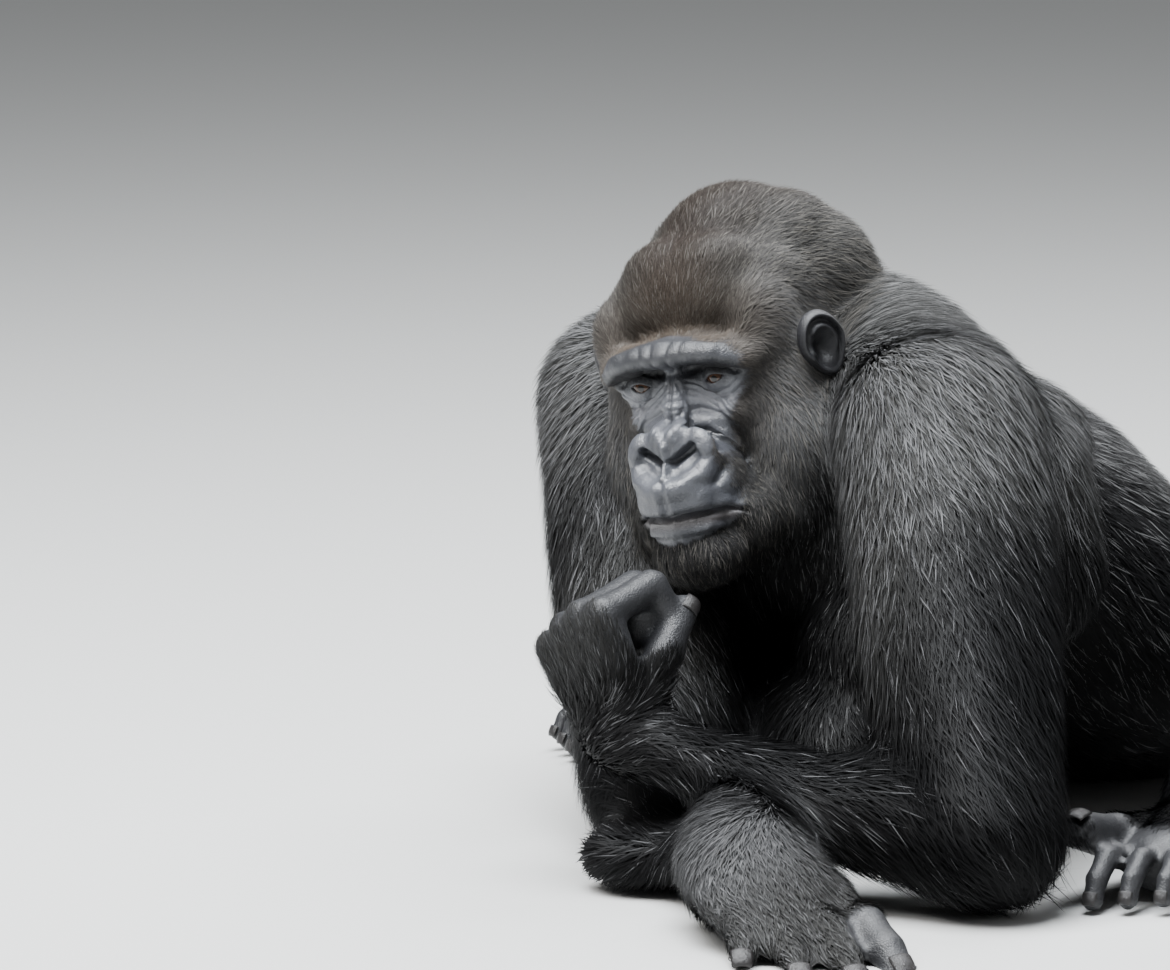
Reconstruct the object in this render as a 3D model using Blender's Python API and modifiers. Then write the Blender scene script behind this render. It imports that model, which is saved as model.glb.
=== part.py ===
"""A silverback western lowland gorilla, life size, crouched low and leaning on both elbows.

Metres, +Z up. The animal faces -Y and its own left side is +X. The floor is z = 0. Places are
written from the point on the floor under the middle of the shoulders, and at the end everything
moves forward so that the origin is where the belly rests. Every solid is the outline of one
region of the body out to the tips of its coat. Each is modelled like clay: overlapping masses
are fused by a voxel remesh, smoothed, thinned, and then trimmed where a neighbour already is.
"""
import bmesh
import bpy
from math import cos, radians, sin
from mathutils import Matrix, Vector
from mathutils.bvhtree import BVHTree

# ---------------------------------------------------------------- driving sizes
GAP = 0.0003                 # clearance between two solids that touch
FLOOR = 0.0                  # everything rests on this level
BELLY_REST = (0.0, 0.36, FLOOR)   # the middle of the flat that the belly rests on
BLOB_DETAIL = 3              # subdivisions of the icosphere behind each mass
SAMPLE_STEP = 0.02           # spacing of the masses along a limb
MIN_LEFT = 0.03              # a trim that leaves less of a solid than this has failed

# joint centres, left and right, as (x, y, z)
SHOULDER = {1: (0.232, -0.014, 0.376), -1: (-0.170, -0.015, 0.360)}
ELBOW = {1: (0.425, -0.145, 0.072), -1: (0.045, -0.175, 0.060)}
WRIST = {1: (0.135, -0.298, 0.130), -1: (0.316, -0.304, 0.055)}
HIP = {1: (0.14, 0.49, 0.14), -1: (-0.14, 0.49, 0.14)}
KNEE = {1: (0.490, 0.400, 0.235), -1: (-0.440, 0.430, 0.245)}
ANKLE = {1: (0.405, 0.150, 0.075), -1: (-0.300, 0.260, 0.075)}
FOOT_TURN = {1: radians(25), -1: radians(6)}   # toes turned out

# the head: where its own axes start (between the ears) and how it is turned
HEAD_AT = (-0.002, -0.051, 0.4185)
HEAD_YAW = radians(21.5)     # turned to its left
HEAD_PITCH = radians(3.0)    # nose down
HEAD_TILT = radians(11.0)    # left side raised
EYE_AT = (0.037, -0.094, 0.0015)
EYE_RADIUS = 0.0125
EAR_AT = (0.104, -0.012, 0.008)

# the hands and feet
METACARPAL = 0.105
PHALANGES = (0.062, 0.042, 0.026)
FINGER_RADIUS = 0.0215
TOE_BONES = (0.024, 0.034, 0.020)

# the colours of the coat and skin, linear RGB
COAT_BLACK = (0.012, 0.011, 0.012)
COAT_BROWN = (0.035, 0.024, 0.018)
COAT_GREY = (0.055, 0.055, 0.055)
BARE_SKIN = (0.022, 0.022, 0.026)
EYE_BROWN = (0.020, 0.009, 0.005)


# ---------------------------------------------------------------- clay tools
def clear_scene():
    for item in list(bpy.data.objects):
        bpy.data.objects.remove(item, do_unlink=True)


def new_collection(name):
    group = bpy.data.collections.new(name)
    bpy.context.scene.collection.children.link(group)
    return group


def finish(name, colour, roughness):
    """One Principled material for a sub-part."""
    material = bpy.data.materials.new(name)
    material.use_nodes = True
    shader = material.node_tree.nodes["Principled BSDF"]
    shader.inputs["Base Color"].default_value = (*colour, 1.0)
    shader.inputs["Roughness"].default_value = roughness
    shader.inputs["Metallic"].default_value = 0.0
    return material


def frame_of(forward, up):
    """A rotation whose Y runs along forward and whose Z leans towards up."""
    y_axis = Vector(forward).normalized()
    x_axis = y_axis.cross(Vector(up)).normalized()
    z_axis = x_axis.cross(y_axis)
    return Matrix((x_axis, y_axis, z_axis)).transposed()


def blob(clay, centre, radii, turn=None, place=None):
    """One ellipsoid of clay. place is the 4x4 of the frame that centre and turn are in."""
    spin = (turn or Matrix.Identity(3)).to_4x4()
    matrix = Matrix.Translation(centre) @ spin @ Matrix.Diagonal((*radii, 1.0))
    if place is not None:
        matrix = place @ matrix
    bmesh.ops.create_icosphere(clay, subdivisions=BLOB_DETAIL, radius=1.0, matrix=matrix)


def run(clay, stations, up=(0, 0, 1), place=None):
    """Clay laid along a line of stations, each (point, half width, half thickness)."""
    for (start, w0, t0), (end, w1, t1) in zip(stations, stations[1:]):
        start, end = Vector(start), Vector(end)
        count = max(1, round((end - start).length / SAMPLE_STEP))
        turn = frame_of(end - start, up)
        for step in range(count + 1):
            share = step / count
            wide = w0 + (w1 - w0) * share
            thick = t0 + (t1 - t0) * share
            length = min(wide, thick)
            blob(clay, start.lerp(end, share), (wide, length, thick), turn, place)


def modified(name, mesh, *modifiers):
    """A mesh after a stack of modifiers, each (type, {setting: value})."""
    thing = bpy.data.objects.new(name, mesh)
    bpy.context.scene.collection.objects.link(thing)
    for number, (kind, settings) in enumerate(modifiers):
        modifier = thing.modifiers.new(f"{kind.title()} {number}", kind)
        for key, value in settings.items():
            setattr(modifier, key, value)
    bpy.context.view_layer.update()
    result = bpy.data.meshes.new_from_object(thing.evaluated_get(bpy.context.evaluated_depsgraph_get()))
    bpy.data.objects.remove(thing, do_unlink=True)
    return result


def largest_piece(mesh):
    """Drop every loose crumb but the piece with the most volume."""
    work = bmesh.new()
    work.from_mesh(mesh)
    bmesh.ops.remove_doubles(work, verts=work.verts, dist=1e-6)
    bmesh.ops.triangulate(work, faces=work.faces)
    left = set(work.verts)
    pieces = []
    while left:
        piece, edge = set(), [left.pop()]
        while edge:
            vert = edge.pop()
            piece.add(vert)
            near = {e.other_vert(vert) for e in vert.link_edges} & left
            left -= near
            edge.extend(near)
        faces = {face for vert in piece for face in vert.link_faces}
        volume = abs(sum(f.verts[0].co.dot(f.verts[1].co.cross(f.verts[2].co)) for f in faces))
        pieces.append((volume, piece))
    keep = max(pieces, key=lambda item: item[0])[1]
    bmesh.ops.delete(work, geom=[v for v in work.verts if v not in keep], context="VERTS")
    work.to_mesh(mesh)
    work.free()
    return mesh


def fired(name, clay, voxel, smoothing, faces):
    """Clay fused into one skin, smoothed, and thinned to about so many triangles."""
    raw = bpy.data.meshes.new(name)
    clay.to_mesh(raw)
    clay.free()
    fused = modified(name, raw,
                     ("REMESH", {"mode": "VOXEL", "voxel_size": voxel}),
                     ("SMOOTH", {"factor": 0.5, "iterations": smoothing}),
                     ("TRIANGULATE", {}))
    ratio = min(1.0, faces / len(fused.polygons))
    return modified(name, fused, ("DECIMATE", {"ratio": ratio}))


class Body:
    """The finished solids, each trimmed by those that were made before it."""

    def __init__(self):
        self.parts = new_collection("gorilla")
        self.cutters = new_collection("cutters")
        self.made = []
        self.floor = self.box_cutter("floor_cutter", (0, 0, FLOOR - 1.0), (4.0, 4.0, 2.0))

    def as_cutter(self, name, mesh):
        cutter = bpy.data.objects.new(name, mesh)
        cutter.hide_render = True
        cutter.display_type = "WIRE"
        self.cutters.objects.link(cutter)
        return cutter

    def box_cutter(self, name, centre, size):
        shape = bmesh.new()
        matrix = Matrix.Translation(centre) @ Matrix.Diagonal((*size, 1.0))
        bmesh.ops.create_cube(shape, size=1.0, matrix=matrix)
        mesh = bpy.data.meshes.new(name)
        shape.to_mesh(mesh)
        shape.free()
        return self.as_cutter(name, mesh)

    def add(self, name, mesh, material, on_floor=False, hollow=()):
        """Trim a solid, keep it, and leave a slightly larger copy to trim the next ones with."""
        cutters = [self.floor] if on_floor else []
        cutters += [item["cutter"] for item in self.made]
        for cutter in [*cutters, *hollow]:
            if surfaces_meet(mesh, cutter.data):
                mesh = carved(name, mesh, cutter)
        mesh.materials.clear()
        mesh.materials.append(material)
        mesh.shade_smooth()
        thing = bpy.data.objects.new(name, mesh)
        self.parts.objects.link(thing)
        larger = modified(name + "_larger", mesh.copy(),
                          ("DISPLACE", {"strength": GAP, "mid_level": 0.0}))
        self.made.append({"mesh": mesh, "cutter": self.as_cutter(name + "_cutter", larger)})
        return thing


def surfaces_meet(one, two):
    trees = [BVHTree.FromPolygons([v.co for v in mesh.vertices], [p.vertices for p in mesh.polygons])
             for mesh in (one, two)]
    return bool(trees[0].overlap(trees[1]))


def volume_of(mesh):
    work = bmesh.new()
    work.from_mesh(mesh)
    volume = work.calc_volume(signed=True)
    work.free()
    return volume


def carved(name, mesh, cutter):
    """The mesh less the cutter, by the exact solver, or the manifold one where that fails."""
    for solver in ("EXACT", "MANIFOLD"):
        cut = ("BOOLEAN", {"operation": "DIFFERENCE", "solver": solver, "object": cutter})
        result = modified(name, mesh.copy(), cut)
        if result.polygons and MIN_LEFT * volume_of(mesh) < volume_of(result) <= volume_of(mesh) * 1.0001:
            return largest_piece(result)
    print(name, "was not trimmed by", cutter.name)
    return mesh


SIDE_NAME = {1: "left", -1: "right"}


# ---------------------------------------------------------------- the head
def head_frame():
    turn = (Matrix.Rotation(HEAD_YAW, 4, "Z") @ Matrix.Rotation(HEAD_PITCH, 4, "X")
            @ Matrix.Rotation(-HEAD_TILT, 4, "Y"))
    return Matrix.Translation(HEAD_AT) @ turn


def mirrored(point, side):
    return (point[0] * side, point[1], point[2])


def head_clay():
    """Crown, brow, cheeks, muzzle and jaw, in the head's own axes."""
    clay, at = bmesh.new(), head_frame()
    single = [
        ((0, 0.022, 0.044), (0.096, 0.102, 0.094)),       # braincase and its muscles
        ((0, 0.040, 0.092), (0.066, 0.094, 0.067)),       # crest
        ((0, -0.050, 0.064), (0.076, 0.050, 0.052)),      # forehead
        ((0, 0.080, -0.010), (0.098, 0.080, 0.110)),      # back of the head
        ((0, -0.066, -0.030), (0.076, 0.050, 0.070)),     # face
        ((0, -0.112, -0.088), (0.054, 0.050, 0.046)),     # muzzle
        ((0, -0.141, -0.050), (0.024, 0.016, 0.022)),     # tip of the nose
        ((0, -0.144, -0.094), (0.038, 0.028, 0.022)),     # upper lip
        ((0, -0.140, -0.126), (0.038, 0.028, 0.018)),     # lower lip
        ((0, -0.122, -0.148), (0.050, 0.046, 0.036)),     # chin
        ((0, -0.040, -0.115), (0.080, 0.080, 0.066)),     # throat
    ]
    for centre, radii in single:
        blob(clay, centre, radii, place=at)
    paired = [
        ((0.046, -0.014, 0.058), (0.050, 0.064, 0.052)),   # side of the forehead
        ((0.044, 0.078, 0.060), (0.064, 0.086, 0.066)),    # nape muscle
        ((0.053, -0.012, -0.026), (0.062, 0.078, 0.082)),  # temple
        ((0.070, -0.022, -0.076), (0.055, 0.070, 0.078)),  # cheek
        ((0.056, -0.036, -0.122), (0.048, 0.060, 0.050)),  # corner of the jaw
        ((0.044, -0.088, -0.122), (0.034, 0.040, 0.036)),  # corner of the mouth
        ((0.042, -0.096, -0.028), (0.024, 0.016, 0.016)),  # cheekbone under the eye
        ((0.019, -0.138, -0.058), (0.016, 0.017, 0.017)),  # wing of the nostril
        ((0.050, 0.070, -0.060), (0.062, 0.080, 0.090)),   # side of the nape
    ]
    for side in (1, -1):
        for centre, radii in paired:
            blob(clay, mirrored(centre, side), radii, place=at)
        run(clay, [((0, -0.112, 0.030), 0.018, 0.016),
                   ((0.040 * side, -0.106, 0.029), 0.018, 0.015),
                   ((0.070 * side, -0.086, 0.018), 0.018, 0.016)], place=at)
    run(clay, [((0, -0.100, 0.010), 0.014, 0.012), ((0, -0.134, -0.042), 0.015, 0.014)], place=at)
    return clay


def ball_mesh(name, centre, radii, rings, place, turn=None):
    shape = bmesh.new()
    spin = (turn or Matrix.Identity(3)).to_4x4()
    matrix = place @ Matrix.Translation(centre) @ spin @ Matrix.Diagonal((*radii, 1.0))
    bmesh.ops.create_uvsphere(shape, u_segments=2 * rings, v_segments=rings, radius=1.0, matrix=matrix)
    mesh = bpy.data.meshes.new(name)
    shape.to_mesh(mesh)
    shape.free()
    return mesh


def build_head(body, coat, skin, eye):
    at = head_frame()
    sockets = []
    for side in (1, -1):
        opening = Vector(mirrored(EYE_AT, side)) + Vector((0, -0.015, -0.001))
        socket = ball_mesh("socket", opening, (0.021, 0.020, 0.012), 7, at)
        sockets.append(body.as_cutter("socket_" + SIDE_NAME[side], socket))
    body.add("head", fired("head", head_clay(), 0.006, 5, 1750), coat, hollow=sockets)
    for side in (1, -1):
        name = "eye_" + SIDE_NAME[side]
        body.add(name, ball_mesh(name, mirrored(EYE_AT, side), (EYE_RADIUS,) * 3, 6, at), eye)
    for side in (1, -1):
        name = "ear_" + SIDE_NAME[side]
        lean = Matrix.Rotation(radians(-14 * side), 3, "Z") @ Matrix.Rotation(radians(8 * side), 3, "Y")
        shell = ball_mesh(name, mirrored(EAR_AT, side), (0.0125, 0.0215, 0.032), 7, at, lean)
        dent_at = Vector(mirrored(EAR_AT, side)) + Vector((0.012 * side, -0.004, 0.002))
        dent = ball_mesh("dent", dent_at, (0.0075, 0.012, 0.019), 4, at, lean)
        body.add(name, shell, skin, hollow=[body.as_cutter("dent_" + SIDE_NAME[side], dent)])


# ---------------------------------------------------------------- neck and trunk
def build_neck(body, coat):
    clay = bmesh.new()
    run(clay, [((0.005, -0.01, 0.345), 0.115, 0.10), ((0.030, 0.095, 0.378), 0.140, 0.112)])
    blob(clay, (0.01, -0.005, 0.275), (0.11, 0.08, 0.09))
    body.add("neck", fired("neck", clay, 0.010, 4, 240), coat)


def build_trunk(body, coat):
    """The barrel of chest and belly along the spine, with the hump, shoulder blades and rump."""
    clay = bmesh.new()
    run(clay, [((0.020, 0.045, 0.270), 0.180, 0.125), ((0.020, 0.120, 0.262), 0.222, 0.172),
               ((0.012, 0.200, 0.218), 0.245, 0.178), ((0.006, 0.285, 0.160), 0.270, 0.158),
               ((0.000, 0.380, 0.124), 0.277, 0.132), ((0.000, 0.480, 0.120), 0.240, 0.124),
               ((0.000, 0.570, 0.110), 0.185, 0.112)])
    blob(clay, (0.03, 0.095, 0.352), (0.165, 0.110, 0.130))
    for side in (1, -1):
        blob(clay, (0.02 + 0.130 * side, 0.090, 0.318), (0.105, 0.110, 0.118))   # shoulder blade
        blob(clay, (0.105 * side, 0.550, 0.104), (0.110, 0.125, 0.106))          # buttock
    body.add("trunk", fired("trunk", clay, 0.012, 12, 900), coat, on_floor=True)


# ---------------------------------------------------------------- arms
def build_upper_arm(body, side, coat):
    clay = bmesh.new()
    shoulder, elbow = Vector(SHOULDER[side]), Vector(ELBOW[side])
    middle = shoulder.lerp(elbow, 0.5)
    run(clay, [(shoulder, 0.098, 0.102), (middle, 0.094, 0.096), (elbow, 0.078, 0.078)],
        up=(0, 1, 0))
    blob(clay, shoulder + Vector((-0.055 * side, 0.040, -0.010)), (0.10, 0.10, 0.098))
    name = "upper_arm_" + SIDE_NAME[side]
    body.add(name, fired(name, clay, 0.010, 5, 360), coat, on_floor=True)


def build_forearm(body, side, coat):
    clay = bmesh.new()
    if side == 1:
        stations = [(ELBOW[1], 0.072, 0.072),
                    ((0.300, -0.212, 0.084), 0.060, 0.054),
                    ((0.205, -0.262, 0.112), 0.050, 0.036),
                    (WRIST[1], 0.046, 0.038)]
    else:
        stations = [(ELBOW[-1], 0.066, 0.058),
                    ((0.110, -0.210, 0.048), 0.062, 0.050),
                    ((0.195, -0.252, 0.034), 0.058, 0.036),
                    ((0.250, -0.280, 0.044), 0.054, 0.044),
                    (WRIST[-1], 0.052, 0.047)]
        blob(clay, (0.155, -0.300, 0.030), (0.060, 0.050, 0.036))   # long hair under the forearm
    run(clay, stations)
    name = "forearm_" + SIDE_NAME[side]
    body.add(name, fired(name, clay, 0.008, 5, 320), coat, on_floor=True)


def finger(clay, root, forward, back, bends, bones, radius):
    """Three bones that curl away from the back of the hand by the given angles."""
    point = Vector(root)
    for bone, bend in zip(bones, bends):
        way = forward * cos(radians(bend)) - back * sin(radians(bend))
        tip = point + way * bone
        run(clay, [(point, radius, radius), (tip, radius * 0.93, radius * 0.93)], up=back)
        point, radius = tip, radius * 0.93
    return point


def hand_clay(wrist, forward, back, side, bends, spread, thumb):
    """A palm, four fingers and a thumb. thumb lists its points as (thumbward, forward, back)."""
    clay = bmesh.new()
    forward, back = Vector(forward).normalized(), Vector(back).normalized()
    thumbward = forward.cross(back) * side
    back = thumbward.cross(forward) * side
    wrist = Vector(wrist)
    scale = (0.97, 1.04, 1.0, 0.84)
    for number, offset in enumerate((0.042, 0.014, -0.014, -0.042)):
        knuckle = wrist + forward * METACARPAL * (1.0, 1.03, 0.98, 0.88)[number] + thumbward * offset
        start = wrist + thumbward * offset * 0.45
        run(clay, [(start, 0.027, 0.030), (knuckle, 0.024, 0.024)], up=back)
        fan = radians(spread * (1.5 - number) / 1.5)
        way = forward * cos(fan) + thumbward * sin(fan)
        bones = [length * scale[number] for length in PHALANGES]
        finger(clay, knuckle, way, back, bends, bones, FINGER_RADIUS * (1.0, 1.03, 1.0, 0.9)[number])
    points = [wrist + thumbward * a + forward * b + back * c for a, b, c, _ in thumb]
    run(clay, [(point, r, r) for point, (_, _, _, r) in zip(points, thumb)], up=back)
    return clay


def build_hand(body, side, skin):
    name = "hand_" + SIDE_NAME[side]
    if side == 1:
        # bent down at the wrist, knuckles forward, the fingers curled back under the chin
        clay = hand_clay(WRIST[1], (-0.34, -0.18, 0.92), (0.0, -0.985, -0.19), 1,
                         (82, 165, 215), 4,
                         [(0.030, 0.020, -0.020, 0.026), (0.040, 0.050, -0.040, 0.022),
                          (0.036, 0.078, -0.062, 0.018), (0.030, 0.100, -0.075, 0.016)])
    else:
        # palm down on the floor, the fingers nearly straight
        clay = hand_clay(WRIST[-1], (0.90, -0.43, -0.16), (0.16, -0.08, 0.98), -1,
                         (4, 12, 28), 11,
                         [(0.034, 0.030, -0.016, 0.025), (0.056, 0.056, -0.018, 0.020),
                          (0.066, 0.088, -0.012, 0.017), (0.064, 0.112, -0.008, 0.016)])
    body.add(name, fired(name, clay, 0.0055, 3, 680), skin, on_floor=True)


# ---------------------------------------------------------------- legs
def build_thigh(body, side, coat):
    clay = bmesh.new()
    hip, knee = Vector(HIP[side]), Vector(KNEE[side])
    run(clay, [(hip, 0.118, 0.125), (hip.lerp(knee, 0.5), 0.115, 0.112), (knee, 0.088, 0.084)])
    name = "thigh_" + SIDE_NAME[side]
    body.add(name, fired(name, clay, 0.011, 5, 290), coat, on_floor=True)


def build_shin(body, side, coat):
    clay = bmesh.new()
    knee, ankle = Vector(KNEE[side]), Vector(ANKLE[side])
    calf = knee.lerp(ankle, 0.42) + Vector((0, 0.012, -0.012))
    run(clay, [(knee, 0.080, 0.074), (calf, 0.074, 0.074), (ankle, 0.048, 0.048)], up=(0, 1, 0))
    name = "shin_" + SIDE_NAME[side]
    body.add(name, fired(name, clay, 0.010, 5, 240), coat, on_floor=True)


def build_foot(body, side, skin):
    """Heel, arch, four curled toes and the great toe that stands apart."""
    clay = bmesh.new()
    ankle = Vector(ANKLE[side])
    turn = FOOT_TURN[side]
    forward = Vector((sin(turn) * side, -cos(turn), 0))
    outward = Vector((cos(turn) * side, sin(turn), 0))
    up = Vector((0, 0, 1))

    def spot(ahead, out, height):
        return Vector((ankle.x, ankle.y, height)) + forward * ahead + outward * out

    run(clay, [(spot(-0.055, 0, 0.030), 0.036, 0.032), (spot(0.0, 0, 0.042), 0.042, 0.044),
               (spot(0.080, 0.012, 0.042), 0.046, 0.040), (spot(0.150, 0.022, 0.034), 0.048, 0.030)])
    run(clay, [(ankle, 0.046, 0.046), (spot(0.03, 0, 0.05), 0.042, 0.040)])
    for number in range(4):
        root = spot(0.170 - 0.006 * number, -0.014 + 0.0245 * number, 0.040)
        bones = [length * (1.0 - 0.06 * number) for length in TOE_BONES]
        finger(clay, root, forward, up, (-12, 48, 62), bones, 0.0165 - 0.0007 * number)
    run(clay, [(spot(0.075, -0.022, 0.040), 0.028, 0.028), (spot(0.140, -0.044, 0.050), 0.021, 0.021),
               (spot(0.200, -0.046, 0.066), 0.0185, 0.0185)])
    name = "foot_" + SIDE_NAME[side]
    body.add(name, fired(name, clay, 0.0055, 2, 420), skin, on_floor=True)


# ---------------------------------------------------------------- the gorilla
def main():
    clear_scene()
    body = Body()
    black = finish("coat_black", COAT_BLACK, 0.75)
    brown = finish("coat_brown", COAT_BROWN, 0.8)
    grey = finish("coat_grey", COAT_GREY, 0.8)
    skin = finish("bare_skin", BARE_SKIN, 0.45)
    eye = finish("eye_brown", EYE_BROWN, 0.1)
    build_trunk(body, grey)
    for build, colour in ((build_upper_arm, black), (build_thigh, black), (build_forearm, black),
                          (build_shin, black), (build_hand, skin), (build_foot, skin)):
        for side in (1, -1):
            build(body, side, colour)
    build_head(body, brown, skin, eye)
    build_neck(body, grey)
    for cutter in list(body.cutters.objects):
        bpy.data.objects.remove(cutter, do_unlink=True)
    total = 0
    for item in body.parts.objects:
        item.data.transform(Matrix.Translation(-Vector(BELLY_REST)))
        count = len(item.data.polygons)
        total += count
        print(f"{item.name:18s} {count:6d} triangles")
    print("triangles in all", total)


main()
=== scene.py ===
# %% [markdown]
# # A silverback gorilla, crouched on his elbows
# The hard outline of the animal already exists as a set of closed solids. This notebook lays a
# living surface over them: one skin, a coat of many small tufts, eyes, ears and nails.
# Everything is in metres, the floor is at z = 0, the gorilla faces -Y and his left side is +X.

# %% Load the frame and note its size
import bmesh
import bpy
import numpy as np
from math import cos, pi, radians, sin
from mathutils import Matrix, Vector


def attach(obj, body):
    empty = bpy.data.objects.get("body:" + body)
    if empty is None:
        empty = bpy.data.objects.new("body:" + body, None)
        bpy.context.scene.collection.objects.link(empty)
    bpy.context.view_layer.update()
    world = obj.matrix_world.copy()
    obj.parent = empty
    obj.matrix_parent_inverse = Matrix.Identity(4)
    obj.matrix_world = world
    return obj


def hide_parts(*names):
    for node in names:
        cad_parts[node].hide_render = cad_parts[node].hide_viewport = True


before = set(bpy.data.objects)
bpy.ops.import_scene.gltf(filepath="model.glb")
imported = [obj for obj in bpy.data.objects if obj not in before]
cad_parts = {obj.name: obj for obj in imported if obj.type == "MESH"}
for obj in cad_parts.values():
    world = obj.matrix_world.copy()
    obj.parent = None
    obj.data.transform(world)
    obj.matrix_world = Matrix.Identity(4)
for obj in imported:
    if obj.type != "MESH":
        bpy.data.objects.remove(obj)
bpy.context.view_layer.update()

# %% [markdown]
# ## The studio
# A real gorilla is seen here from his front left and from a little above his eyes, by someone
# some way off with a long lens. A plain pale floor and a few wide soft lamps give the dark
# coat something to shine against, as an overcast sky does outdoors.

# %% Camera, floor and lamps
VIEW_FROM = radians(50)
VIEW_HEIGHT = radians(9)
VIEW_DISTANCE = 8.0
AIM = Vector((-0.0705, -0.5241, 0.3126))
LENS = 278.15          # focal length in millimetres
SENSOR = 36.0          # width of the film in millimetres
LAMP_AIM = Vector((0, -0.2, 0.2))


def direction(azimuth, elevation):
    """The way from the middle of the scene towards a place on the sky."""
    level = cos(elevation)
    return Vector((sin(azimuth) * level, -cos(azimuth) * level, sin(elevation)))


def in_scene(name, data):
    """A new object that shows a mesh, a lamp or a camera."""
    thing = bpy.data.objects.new(name, data)
    bpy.context.scene.collection.objects.link(thing)
    return thing


def aimed(thing, target, way, distance):
    """Stand something off from a target along a way, and turn it to look back."""
    thing.location = target + way * distance
    thing.rotation_euler = (-way).to_track_quat("-Z", "Y").to_euler()


def lamp(name, azimuth, elevation, distance, size, power, colour=(1, 1, 1)):
    """A square soft lamp that points at the animal."""
    light = bpy.data.lights.new(name, "AREA")
    light.size = size
    light.energy = power
    light.color = colour
    thing = in_scene(name, light)
    aimed(thing, LAMP_AIM, direction(azimuth, elevation), distance)


towards_camera = direction(VIEW_FROM, VIEW_HEIGHT)
camera = in_scene("Camera", bpy.data.cameras.new("Camera"))
camera.data.sensor_width = SENSOR
camera.data.lens = LENS
aimed(camera, AIM, towards_camera, VIEW_DISTANCE)
bpy.context.scene.camera = camera
lamp("Lamp overhead", radians(15), radians(74), 3.2, 2.4, 470, (0.92, 0.96, 1.0))
lamp("Lamp key", radians(-5), radians(50), 3.4, 1.8, 120, (1.0, 0.99, 0.97))
lamp("Lamp fill", radians(95), radians(20), 3.8, 2.4, 14)
lamp("Lamp rim", radians(200), radians(55), 3.4, 2.0, 130, (0.95, 0.97, 1.0))

world = bpy.data.worlds.new("Studio")
world.use_nodes = True
sky = world.node_tree.nodes["Background"].inputs
sky["Color"].default_value = (0.82, 0.84, 0.86, 1)
sky["Strength"].default_value = 0.3
bpy.context.scene.world = world


def principled(name, roughness, specular=0.5):
    """A new finish and its main shader."""
    material = bpy.data.materials.new(name)
    material.use_nodes = True
    shader = material.node_tree.nodes["Principled BSDF"]
    shader.inputs["Roughness"].default_value = roughness
    shader.inputs["Specular IOR Level"].default_value = specular
    return material, shader


bpy.ops.mesh.primitive_plane_add(size=80, location=(0, 0, 0))
floor = bpy.context.object
floor.name = "Floor"
floor_finish, shader = principled("Floor", 0.9)
shader.inputs["Base Color"].default_value = (0.5, 0.5, 0.49, 1)
floor.data.materials.append(floor_finish)
print("camera at", [round(v, 2) for v in camera.location])

# %% [markdown]
# ## Where the joints are
# Bones fix the pose. A gorilla at rest on his belly folds his legs under him, leans on both
# elbows, and holds his hands in front of his chest. These are the centres of his joints.

# %% Joints and the head's own axes
SHOULDER = {1: (0.232, -0.374, 0.376), -1: (-0.17, -0.375, 0.36)}
ELBOW = {1: (0.425, -0.505, 0.072), -1: (0.045, -0.535, 0.06)}
WRIST = {1: (0.135, -0.658, 0.13), -1: (0.316, -0.664, 0.055)}
HIP = {1: (0.14, 0.13, 0.14), -1: (-0.14, 0.13, 0.14)}
KNEE = {1: (0.49, 0.04, 0.235), -1: (-0.44, 0.07, 0.245)}
ANKLE = {1: (0.405, -0.21, 0.075), -1: (-0.3, -0.1, 0.075)}
FOOT_TURN = {1: radians(25), -1: radians(6)}
HEAD_AT = (-0.002, -0.411, 0.4185)
SIDE_NAME = {1: "left", -1: "right"}

head_turn = (Matrix.Rotation(radians(21.5), 4, "Z") @ Matrix.Rotation(radians(3), 4, "X")
    @ Matrix.Rotation(radians(-11), 4, "Y"))
head_frame = Matrix.Translation(HEAD_AT) @ head_turn
head_axes = np.array(head_turn.to_3x3())


def in_head(points):
    """Places in the head's own axes: x to his left, y to the back, z up the face."""
    return (points - np.array(HEAD_AT)) @ head_axes


def from_head(way):
    """A direction given in the head's own axes, turned into the room's."""
    return np.array(way, float) @ head_axes.T


print("head turned to", [round(v, 2) for v in from_head((0, -1, 0))])

# %% [markdown]
# ## Clay
# A sculptor builds an animal from lumps: balls for muscles and sausages for limbs. Here each
# lump is a stretched ball, and a run is a row of them along a bone. Fusing them afterwards
# gives one skin with soft valleys between the forms, as real skin has over muscle.

# %% Lumps and runs
ball = bmesh.new()
bmesh.ops.create_icosphere(ball, subdivisions=3, radius=1.0)
BALL_POINTS = np.array([vert.co[:] for vert in ball.verts])
BALL_FACES = np.array([[vert.index for vert in face.verts] for face in ball.faces])
ball.free()


def frame_of(forward, up):
    """A rotation whose Y runs along forward and whose Z leans towards up."""
    y_axis = Vector(forward).normalized()
    x_axis = y_axis.cross(Vector(up)).normalized()
    return Matrix((x_axis, y_axis, x_axis.cross(y_axis))).transposed()


def blob(clay, centre, radii, turn=None, place=None):
    """One stretched ball of clay, added to a list of point arrays."""
    matrix = Matrix.Translation(centre) @ (turn or Matrix.Identity(3)).to_4x4()
    matrix = matrix @ Matrix.Diagonal((*radii, 1.0))
    if place is not None:
        matrix = place @ matrix
    matrix = np.array(matrix)
    clay.append(BALL_POINTS @ matrix[:3, :3].T + matrix[:3, 3])


def run(clay, stations, up=(0, 0, 1), place=None, step=0.012):
    """Clay along a line of stations, each (point, half width, half thickness)."""
    for (start, w0, t0), (end, w1, t1) in zip(stations, stations[1:]):
        start, end = Vector(start), Vector(end)
        count = max(1, round((end - start).length / step))
        turn = frame_of(end - start, up)
        for number in range(count + 1):
            share = number / count
            wide = w0 + (w1 - w0) * share
            thick = t0 + (t1 - t0) * share
            spot = start.lerp(end, share)
            blob(clay, spot, (wide, min(wide, thick), thick), turn, place)


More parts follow.
